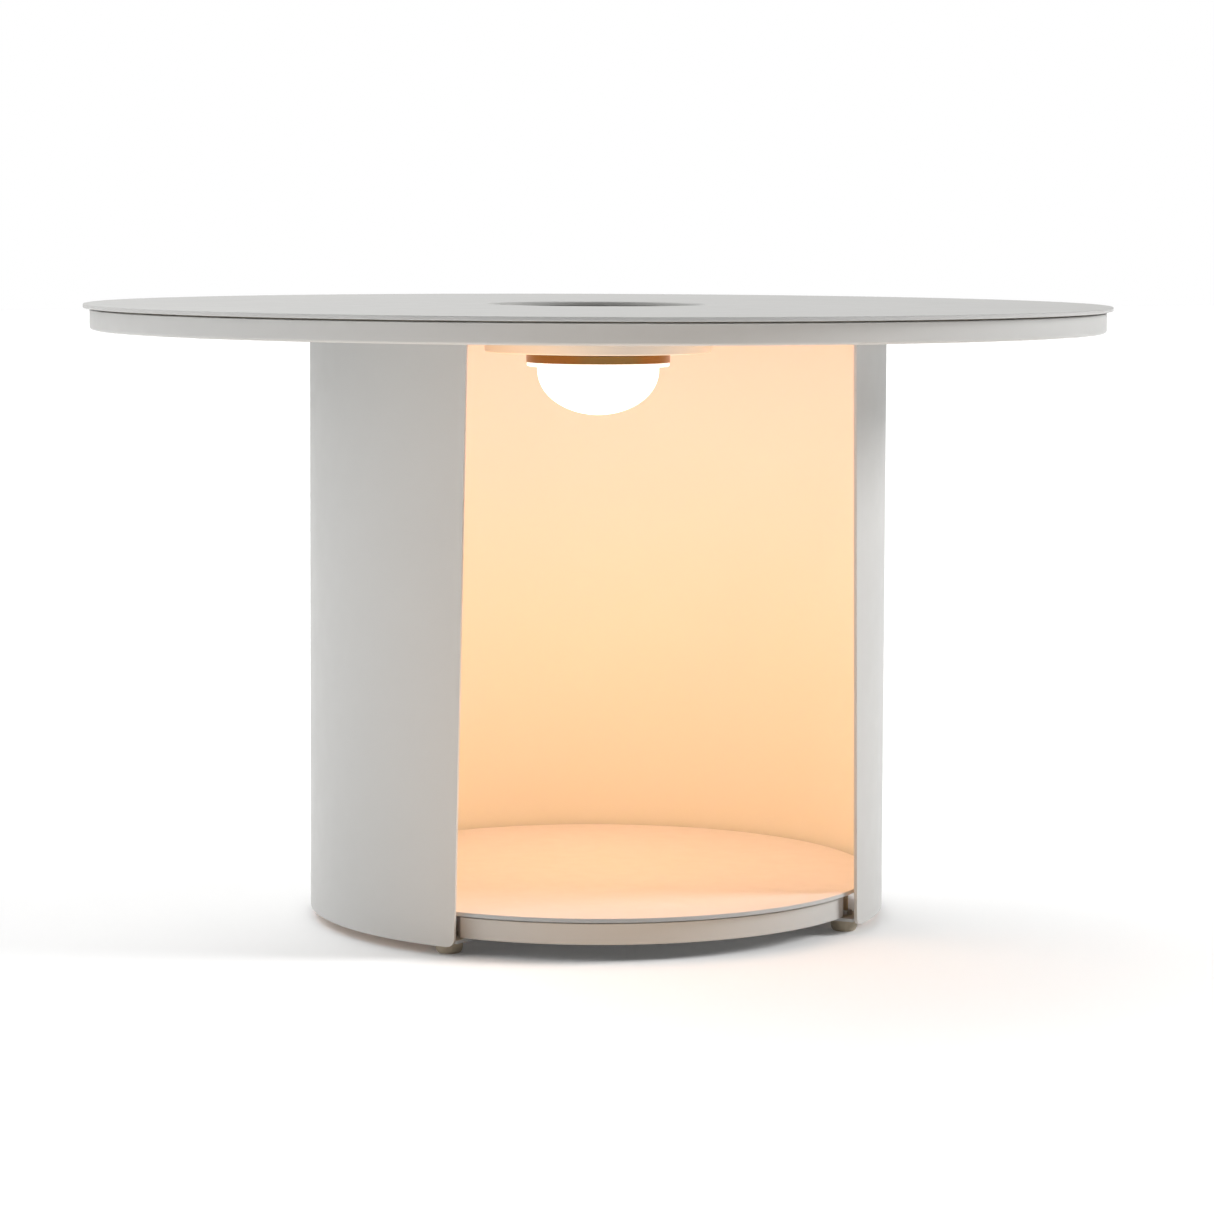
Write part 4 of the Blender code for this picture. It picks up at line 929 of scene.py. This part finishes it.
def make_opal_shade():
    """A hollow dome with a flange, a neck and three twist-lock lugs."""
    size = sizes()
    low, top, flange_radius = levels("opal_shade")
    brass_low = levels("brass_ring")[0]
    flange_top = brass_low - SEAT_GAP
    flange_low = flange_top - size.shade_flange
    wall, neck, dome = size.shade_wall, size.shade_neck, size.shade_dome
    shoulder = flange_low - size.shade_shoulder
    drop = shoulder - low
    section = [(0, low + wall, 0)]
    section += quarter(0, shoulder, dome - wall, drop - wall, DOME_STEPS)[::-1]
    section += [(dome - wall, flange_low, 0.002), (neck - wall, flange_top, 0.002),
                (neck - wall, top, 0.0006), (neck, top, 0.0006), (neck, flange_top, 0.0004),
                (flange_radius, flange_top, 0.0010), (flange_radius, flange_low, 0.0015),
                (dome, flange_low, 0.0012)]
    section += quarter(0, shoulder, dome, drop, DOME_STEPS) + [(0, low, 0)]
    piece = turned("opal_dome", section, size.lamp_steps, closed=False)
    lug_low = brass_low + LUG_RISE
    lug = band(LUG_REACH, neck - wall / 2, lug_low, lug_low + LUG_HEIGHT, 0.0003)
    for index in range(LUGS):
        start = index * FULL_TURN / LUGS - LUG_ANGLE / 2
        boolean(piece, turned("lug", lug, 8, start=start, sweep=LUG_ANGLE), "UNION")
    finish(piece, ["opal_shade"], "opal", "shade")
    piece.visible_shadow = False


def make_gasket():
    size = sizes()
    low, high, reach = levels("shade_gasket")
    section = band(reach, GASKET_INNER, low, high, 0.0004, 0.0004)
    finish(turned("seal_ring", section, size.lamp_steps), ["shade_gasket"], "silicone")


def make_push_button():
    """A cap with a dished face, the collar that keeps it in, and the stem that meets the switch."""
    low, high, _ = levels("push_button")
    collar_low = levels("lamp_housing")[0] + sizes().drum_sheet + SEAT_GAP
    collar_top = collar_low + 0.001
    cap, collar, stem = 0.006, 0.0078, 0.0028
    section = [(0, high, 0), (stem, high, 0.0004), (stem, collar_top, 0.0002),
               (collar, collar_top, 0.0002), (collar, collar_low, 0.0002),
               (cap, collar_low, 0.0001), (cap, low, 0.0007), (0.0048, low, 0.0003),
               (0.0040, low + 0.0003, 0.0002), (0, low + 0.0004, 0)]
    piece = small_turned("button_cap", section, middle("push_button"))
    finish(piece, ["push_button"], "paint", "button")


def make_button_spring():
    """A coil between the button's collar and the housing's roof, left at its rest length."""
    size = sizes()
    low, high, reach = levels("button_spring")
    wire = size.spring_wire / 2
    coil = reach - wire
    section = [((coil + wire * cos(step * pi / 4), 0, low + wire + wire * sin(step * pi / 4)), 0)
               for step in range(8)]
    piece = trace("button_coil", section)
    end_edit()
    modify(piece, "SCREW", axis="Z", angle=FULL_TURN, iterations=size.spring_turns, steps=24,
           render_steps=24, screw_offset=(high - low - 2 * wire) / size.spring_turns)
    x, y = middle("push_button")
    make_active(piece)
    start_edit()
    merge_doubles()
    bpy.ops.mesh.fill_holes(sides=0)
    select_mesh()
    bpy.ops.transform.translate(value=(x, y, 0))
    face_out()
    end_edit()
    finish(piece, ["button_spring"], "spring_steel")
    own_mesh(piece)


def make_charging_socket():
    """A bezel with a deep bore and a contact pin in its middle."""
    low, high, _ = levels("charging_socket")
    seat = levels("lamp_housing")[0] - SEAT_GAP
    bezel, body, bore, pin = 0.0078, 0.0058, 0.0035, 0.0010
    bore_top = low + 0.009
    section = [(0, high, 0), (body, high, 0.0003), (body, seat, 0), (bezel, seat, 0.0003),
               (bezel, low, 0.0006), (bore, low, 0.0004), (bore, bore_top, 0.0002),
               (pin, bore_top, 0), (pin, low + 0.0022, 0.0003), (0, low + 0.0020, 0)]
    piece = small_turned("charge_port", section, middle("charging_socket"))
    finish(piece, ["charging_socket"], "black_plastic")


def make_tray_plate():
    size = sizes()
    low, high, reach = levels("tray_plate")
    edge = size.plate_round * 0.8
    section = [(0, high, 0), (reach, high, edge), (reach, low, edge), (0, low, 0)]
    finish(turned("tray_disc", section, size.large_steps, closed=False), ["tray_plate"])


def make_tray_skirt():
    """A curved apron with an upper flange and a flap folded in at each end."""
    size = sizes()
    low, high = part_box("tray_skirt")
    reach = skirt_reach()
    inside, flange = reach - size.sheet, reach - size.skirt_flange
    half = size.skirt_half_angle
    section = [(reach, high.z, size.crisp_round), (reach, low.z, size.cut_round),
               (inside, low.z, size.cut_round), (inside, high.z - size.sheet, 0.0005),
               (flange, high.z - size.sheet, size.cut_round), (flange, high.z, size.cut_round)]
    piece = turned("tray_apron", section, SKIRT_STEPS, start=-half, sweep=2 * half)
    thickness = size.sheet / reach
    flap = band(reach - size.sheet / 2, reach - size.skirt_return, low.z, high.z)
    for start in (-half, half - thickness):
        boolean(piece, turned("flap", flap, 1, start=start, sweep=thickness), "UNION")
    finish(piece, ["tray_skirt"])


def make_foot_brackets():
    """A strip folded twice: a foot flange, a web and a flange under the tray."""
    size = sizes()
    sheet = size.hub_sheet
    low, high, _ = levels("foot_bracket_front_left")
    wall_inside = levels("pedestal_wall")[2] - size.wall_sheet
    half = size.bracket_width / 2
    reach = sqrt((wall_inside - BRACKET_CLEARANCE) ** 2 - half ** 2)
    web = reach - size.bracket_foot
    back = web - size.bracket_flange
    outline = [((reach, -half, low), 0), ((reach, -half, low + sheet), 0),
               ((web + sheet, -half, low + sheet), 0.002),
               ((web + sheet, -half, high), sheet + 0.001), ((back, -half, high), 0),
               ((back, -half, high - sheet), 0),
               ((web, -half, high - sheet), 0.001), ((web, -half, low), sheet + 0.001)]
    piece = trace("foot_bracket", outline)
    bpy.ops.mesh.edge_face_add()
    bpy.ops.mesh.extrude_region_move(TRANSFORM_OT_translate={"value": (0, size.bracket_width, 0)})
    face_out()
    end_edit()
    foot = sqrt(sum(value ** 2 for value in middle("levelling_foot_front_left")))
    drill(piece, (foot, 0), STUD_HOLE, low)
    round_edges(piece)
    for label in FEET:
        x, y = middle("levelling_foot_" + label)
        turn = Matrix.Rotation(atan2(x, -y) - pi / 2, 4, "Z")
        finish(copied(piece, "stand_bracket_" + label, turn), ["foot_bracket_" + label])
    bpy.data.objects.remove(piece, do_unlink=True)


def make_feet():
    """Moulded glides on threaded studs, each with a lock nut."""
    low, high, _ = levels("levelling_foot_front_left")
    pad_top, shoulder = low + 0.0147, low + 0.009
    pad, base, stud = 0.016, 0.0115, 0.005
    chamfer, pitch, depth = 0.001, 0.0015, 0.0008
    rise = pad_top + chamfer
    thread = []
    while rise + pitch < high - chamfer:
        thread += [(stud, rise, 0), (stud - depth, rise + pitch / 2, 0)]
        rise += pitch
    collar = pad_top + 0.0002
    section = [(0, low, 0), (base - 0.0015, low, 0), (base, low + 0.0003, 0)]
    section += quarter(base, shoulder, pad - base, shoulder - low, 8)[::-1]
    section += [(pad, pad_top, 0.0016), (stud + 0.002, pad_top, 0.0003), (stud + 0.0012, collar, 0),
                (stud, collar, 0)]
    section += thread + [(stud, high - chamfer, 0), (stud - chamfer, high, 0), (0, high, 0)]
    glide = small_turned("glide", section)
    nut_low, nut_high, _ = levels("lock_nut_front_left")
    nut = hexagon_nut("lock", (0, 0), nut_low, nut_high, LOCK_NUT, LOCK_NUT_BORE)
    for label in FEET:
        move = Matrix.Translation((*middle("levelling_foot_" + label), 0))
        finish(copied(glide, "glide_" + label, move), ["levelling_foot_" + label], "glide_beige",
               "foot_" + label)
        finish(copied(nut, "check_nut_" + label, move), ["lock_nut_" + label], "zinc")
    for spare in (glide, nut):
        bpy.data.objects.remove(spare, do_unlink=True)


def finish_hidden_parts():
    """Finishes for the CAD nodes that stay, inside the drum."""
    for finish_name, nodes in HIDDEN_FINISHES.items():
        for node in nodes:
            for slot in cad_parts[node].material_slots:
                slot.material = finish_named(finish_name)


# The stage

def make_floor():
    select_nothing()
    bpy.ops.mesh.primitive_plane_add(size=60, location=(0, 0, -0.0002))
    floor = bpy.context.object
    floor.name = "floor"
    floor.data.materials.append(finish_named("studio_floor"))


def from_camera(around, rise):
    """A direction at an angle round from the camera and an angle of rise, in degrees."""
    around, rise = radians(around) - studio().turn, radians(rise)
    return Vector((sin(around) * cos(rise), -cos(around) * cos(rise), sin(rise)))


def make_world():
    """Grey soft boxes at the sides and behind the table, over a white backdrop."""
    world = bpy.data.worlds.new("studio")
    bpy.context.scene.world = world
    world.use_nodes = True
    world.node_tree.nodes.clear()
    sky = Nodes(world.node_tree)
    places = sky.add("ShaderNodeTexCoord").outputs["Generated"]
    total = 0.0
    for around, rise, tightness, strength in SOFT_BOXES:
        toward = sky.add("ShaderNodeVectorMath", operation="DOT_PRODUCT")
        toward.inputs[1].default_value = from_camera(around, rise)
        sky.link(places, toward.inputs[0])
        lobe = sky.math("POWER", sky.math("MAXIMUM", toward.outputs["Value"], 0.0), tightness)
        total = sky.math("ADD", sky.math("MULTIPLY", lobe, strength), total)
    soft, backdrop = sky.add("ShaderNodeBackground"), sky.add("ShaderNodeBackground")
    for shader in (soft, backdrop):
        shader.inputs["Color"].default_value = (1, 1, 1, 1)
    sky.link(total, soft.inputs["Strength"])
    choice = sky.add("ShaderNodeMixShader")
    sky.link(sky.add("ShaderNodeLightPath").outputs["Is Camera Ray"], choice.inputs["Fac"])
    sky.link(soft.outputs[0], choice.inputs[1])
    sky.link(backdrop.outputs[0], choice.inputs[2])
    sky.link(choice.outputs[0], sky.add("ShaderNodeOutputWorld").inputs["Surface"])


def add_light(name, kind, place, energy, tint, **settings):
    select_nothing()
    bpy.ops.object.light_add(type=kind, location=place)
    lamp = bpy.context.object
    lamp.name = name
    lamp.data.energy = energy
    lamp.data.color = tint
    for key, value in settings.items():
        setattr(lamp.data, key, value)
    lamp.visible_camera = False
    lamp.visible_glossy = False
    return lamp


def shine_from(lamp, direction):
    lamp.rotation_euler = direction.to_track_quat("Z", "Y").to_euler()


def grouped(name, pieces):
    group = bpy.data.collections.new(name)
    for piece in pieces:
        group.objects.link(bpy.data.objects[piece])
    return group


def light_only(lamp, pieces):
    """Keeps a light to some pieces."""
    lamp.light_linking.receiver_collection = grouped(lamp.name + "_receivers", pieces)


def add_glow(name, place, energy, tint, radius, falloff, pieces):
    """A point light for some pieces, which falls off more slowly than a real one."""
    lamp = add_light(name, "POINT", place, energy, tint, shadow_soft_size=radius)
    lamp.data.use_nodes = True
    nodes = Nodes(lamp.data.node_tree)
    slower = nodes.add("ShaderNodeLightFalloff")
    slower.inputs["Strength"].default_value = 1 / FALLOFF_REACH ** FALLOFF_POWERS[falloff]
    nodes.link(slower.outputs[falloff], nodes.tree.nodes["Emission"].inputs["Strength"])
    light_only(lamp, pieces)


def make_lights():
    """A window at the right, the lamp inside the shade, and warmer lights for what the niche and
    the floor in front of it throw back."""
    window = add_light("window_light", "SUN", (3, 0, 3), 2.75, (1, 1, 1), angle=radians(24))
    shine_from(window, from_camera(97, 28))
    ground = add_light("floor_light", "SUN", (0, 0, 3), 0.55, (1, 1, 1), angle=radians(60))
    light_only(ground, ("floor",))
    blockers = grouped("floor_light_blockers", ("wall_shell", "tray_disc"))
    ground.light_linking.blocker_collection = blockers
    add_glow("lamp_light", (0, 0, 0.640), 3.8, (1, 0.44, 0.54), 0.05, "Linear", NICHE_PIECES)
    add_glow("niche_light", (0, 0, 0.300), 6.2, (1, 0.600, 0.208), 0.10, "Constant", NICHE_PIECES)
    bounce = add_light("bounce_light", "AREA", (-0.15, -0.85, 0.05), 1.9, (1, 0.58, 0.22),
                       shape="DISK", size=0.4)
    shine_from(bounce, Vector((0, -1, -0.9)))
    light_only(bounce, ("rim_ring", "tray_apron", "wall_shell"))
    for x in (-0.23, 0.23):
        add_glow("drum_light", (x, -0.16, 0.600), 5.5, (1, 0.68, 0.40), 0.05, "Constant",
                 ("lamp_drum",))


def make_camera():
    view = studio()
    select_nothing()
    bpy.ops.object.camera_add()
    camera = bpy.context.object
    camera.matrix_world = (Matrix.Rotation(-view.turn, 4, "Z")
                           @ Matrix.Translation((0, -view.distance, view.height))
                           @ Matrix.Rotation(-view.yaw, 4, "Z")
                           @ Matrix.Rotation(pi / 2 - view.pitch, 4, "X")
                           @ Matrix.Rotation(view.roll, 4, "Z"))
    camera.data.lens = view.lens
    camera.data.sensor_width = 36
    camera.data.shift_y = view.shift
    camera.data.clip_start = 0.05
    camera.data.clip_end = 200
    bpy.context.scene.camera = camera
    bpy.context.scene.view_settings.view_transform = "Standard"


class TABLE_OT_top(bpy.types.Operator):
    """Add the tabletop plate"""
    bl_idname = "light_table.top"
    bl_label = "Tabletop"
    bl_options = {"REGISTER", "UNDO"}

    def execute(self, context):
        make_tabletop()
        return {"FINISHED"}


class TABLE_OT_rim(bpy.types.Operator):
    """Add the folded rim under the tabletop's edge"""
    bl_idname = "light_table.rim"
    bl_label = "Rim"
    bl_options = {"REGISTER", "UNDO"}

    def execute(self, context):
        make_rim()
        return {"FINISHED"}


class TABLE_OT_reveals(bpy.types.Operator):
    """Add the dark strips in the reveals, their tone painted shade"""
    bl_idname = "light_table.reveals"
    bl_label = "Reveal strips"
    bl_options = {"REGISTER", "UNDO"}

    def execute(self, context):
        make_reveal_strips()
        return {"FINISHED"}


class TABLE_OT_ribs(bpy.types.Operator):
    """Add the ribs under the tabletop"""
    bl_idname = "light_table.ribs"
    bl_label = "Ribs"
    bl_options = {"REGISTER", "UNDO"}

    def execute(self, context):
        make_ribs()
        return {"FINISHED"}


class TABLE_OT_hub(bpy.types.Operator):
    """Add the hub plate and its weld nuts"""
    bl_idname = "light_table.hub"
    bl_label = "Hub plate"
    bl_options = {"REGISTER", "UNDO"}

    def execute(self, context):
        make_hub()
        return {"FINISHED"}


class TABLE_OT_well(bpy.types.Operator):
    """Add the pan of the well"""
    bl_idname = "light_table.well"
    bl_label = "Well pan"
    bl_options = {"REGISTER", "UNDO"}

    def execute(self, context):
        make_well_pan()
        return {"FINISHED"}


class TABLE_OT_wall(bpy.types.Operator):
    """Add the rolled pedestal wall"""
    bl_idname = "light_table.wall"
    bl_label = "Pedestal wall"
    bl_options = {"REGISTER", "UNDO"}

    def execute(self, context):
        make_pedestal_wall()
        return {"FINISHED"}


class TABLE_OT_ceiling(bpy.types.Operator):
    """Add the ceiling plate and its bolts"""
    bl_idname = "light_table.ceiling"
    bl_label = "Ceiling plate"
    bl_options = {"REGISTER", "UNDO"}

    def execute(self, context):
        make_ceiling()
        return {"FINISHED"}


class TABLE_OT_housing(bpy.types.Operator):
    """Add the drum that holds the lamp"""
    bl_idname = "light_table.housing"
    bl_label = "Lamp housing"
    bl_options = {"REGISTER", "UNDO"}

    def execute(self, context):
        make_lamp_housing()
        make_lamp_base()
        return {"FINISHED"}


class TABLE_OT_brass(bpy.types.Operator):
    """Add the brass bayonet ring"""
    bl_idname = "light_table.brass"
    bl_label = "Brass ring"
    bl_options = {"REGISTER", "UNDO"}

    def execute(self, context):
        make_brass_ring()
        return {"FINISHED"}


class TABLE_OT_shade(bpy.types.Operator):
    """Add the opal shade and its seal"""
    bl_idname = "light_table.shade"
    bl_label = "Opal shade"
    bl_options = {"REGISTER", "UNDO"}

    def execute(self, context):
        make_opal_shade()
        make_gasket()
        return {"FINISHED"}


class TABLE_OT_controls(bpy.types.Operator):
    """Add the push button with its spring, and the charging socket"""
    bl_idname = "light_table.controls"
    bl_label = "Button and socket"
    bl_options = {"REGISTER", "UNDO"}

    def execute(self, context):
        make_push_button()
        make_button_spring()
        make_charging_socket()
        return {"FINISHED"}


class TABLE_OT_tray(bpy.types.Operator):
    """Add the base tray and its skirt"""
    bl_idname = "light_table.tray"
    bl_label = "Base tray"
    bl_options = {"REGISTER", "UNDO"}

    def execute(self, context):
        make_tray_plate()
        make_tray_skirt()
        return {"FINISHED"}


class TABLE_OT_brackets(bpy.types.Operator):
    """Add the brackets that carry the tray and the feet"""
    bl_idname = "light_table.brackets"
    bl_label = "Foot brackets"
    bl_options = {"REGISTER", "UNDO"}

    def execute(self, context):
        make_foot_brackets()
        return {"FINISHED"}


class TABLE_OT_feet(bpy.types.Operator):
    """Add the levelling feet and their lock nuts"""
    bl_idname = "light_table.feet"
    bl_label = "Levelling feet"
    bl_options = {"REGISTER", "UNDO"}

    def execute(self, context):
        make_feet()
        return {"FINISHED"}


class TABLE_OT_hidden(bpy.types.Operator):
    """Finish the parts inside the drum"""
    bl_idname = "light_table.hidden"
    bl_label = "Parts in the drum"
    bl_options = {"REGISTER", "UNDO"}

    def execute(self, context):
        finish_hidden_parts()
        return {"FINISHED"}


class TABLE_OT_stage(bpy.types.Operator):
    """Add the floor, the lights and the camera"""
    bl_idname = "light_table.stage"
    bl_label = "Stage"
    bl_options = {"REGISTER", "UNDO"}

    def execute(self, context):
        make_floor()
        make_world()
        make_lights()
        make_camera()
        return {"FINISHED"}


OPERATORS = (TABLE_OT_top, TABLE_OT_rim, TABLE_OT_reveals, TABLE_OT_ribs, TABLE_OT_hub,
             TABLE_OT_well, TABLE_OT_wall, TABLE_OT_ceiling, TABLE_OT_housing, TABLE_OT_brass,
             TABLE_OT_shade, TABLE_OT_controls, TABLE_OT_tray, TABLE_OT_brackets, TABLE_OT_feet,
             TABLE_OT_hidden, TABLE_OT_stage)


class TABLE_PT_sidebar(bpy.types.Panel):
    bl_label = "Table"
    bl_space_type = "VIEW_3D"
    bl_region_type = "UI"
    bl_category = "Table"

    def draw(self, context):
        for operator in OPERATORS:
            self.layout.operator(operator.bl_idname)
        for group in (context.scene.table_sizes, context.scene.table_finishes,
                      context.scene.table_studio):
            column = self.layout.column()
            for name in group.__annotations__:
                column.prop(group, name)


CLASSES = (TableSizes, TableFinishes, TableStudio, *OPERATORS, TABLE_PT_sidebar)


def register():
    for entry in CLASSES:
        bpy.utils.register_class(entry)
    bpy.types.Scene.table_sizes = PointerProperty(type=TableSizes)
    bpy.types.Scene.table_finishes = PointerProperty(type=TableFinishes)
    bpy.types.Scene.table_studio = PointerProperty(type=TableStudio)


def unregister():
    del bpy.types.Scene.table_sizes
    del bpy.types.Scene.table_finishes
    del bpy.types.Scene.table_studio
    for entry in reversed(CLASSES):
        bpy.utils.unregister_class(entry)


def main():
    register()
    for operator in OPERATORS:
        category, name = operator.bl_idname.split(".")
        getattr(getattr(bpy.ops, category), name)()


if __name__ == "__main__":
    main()
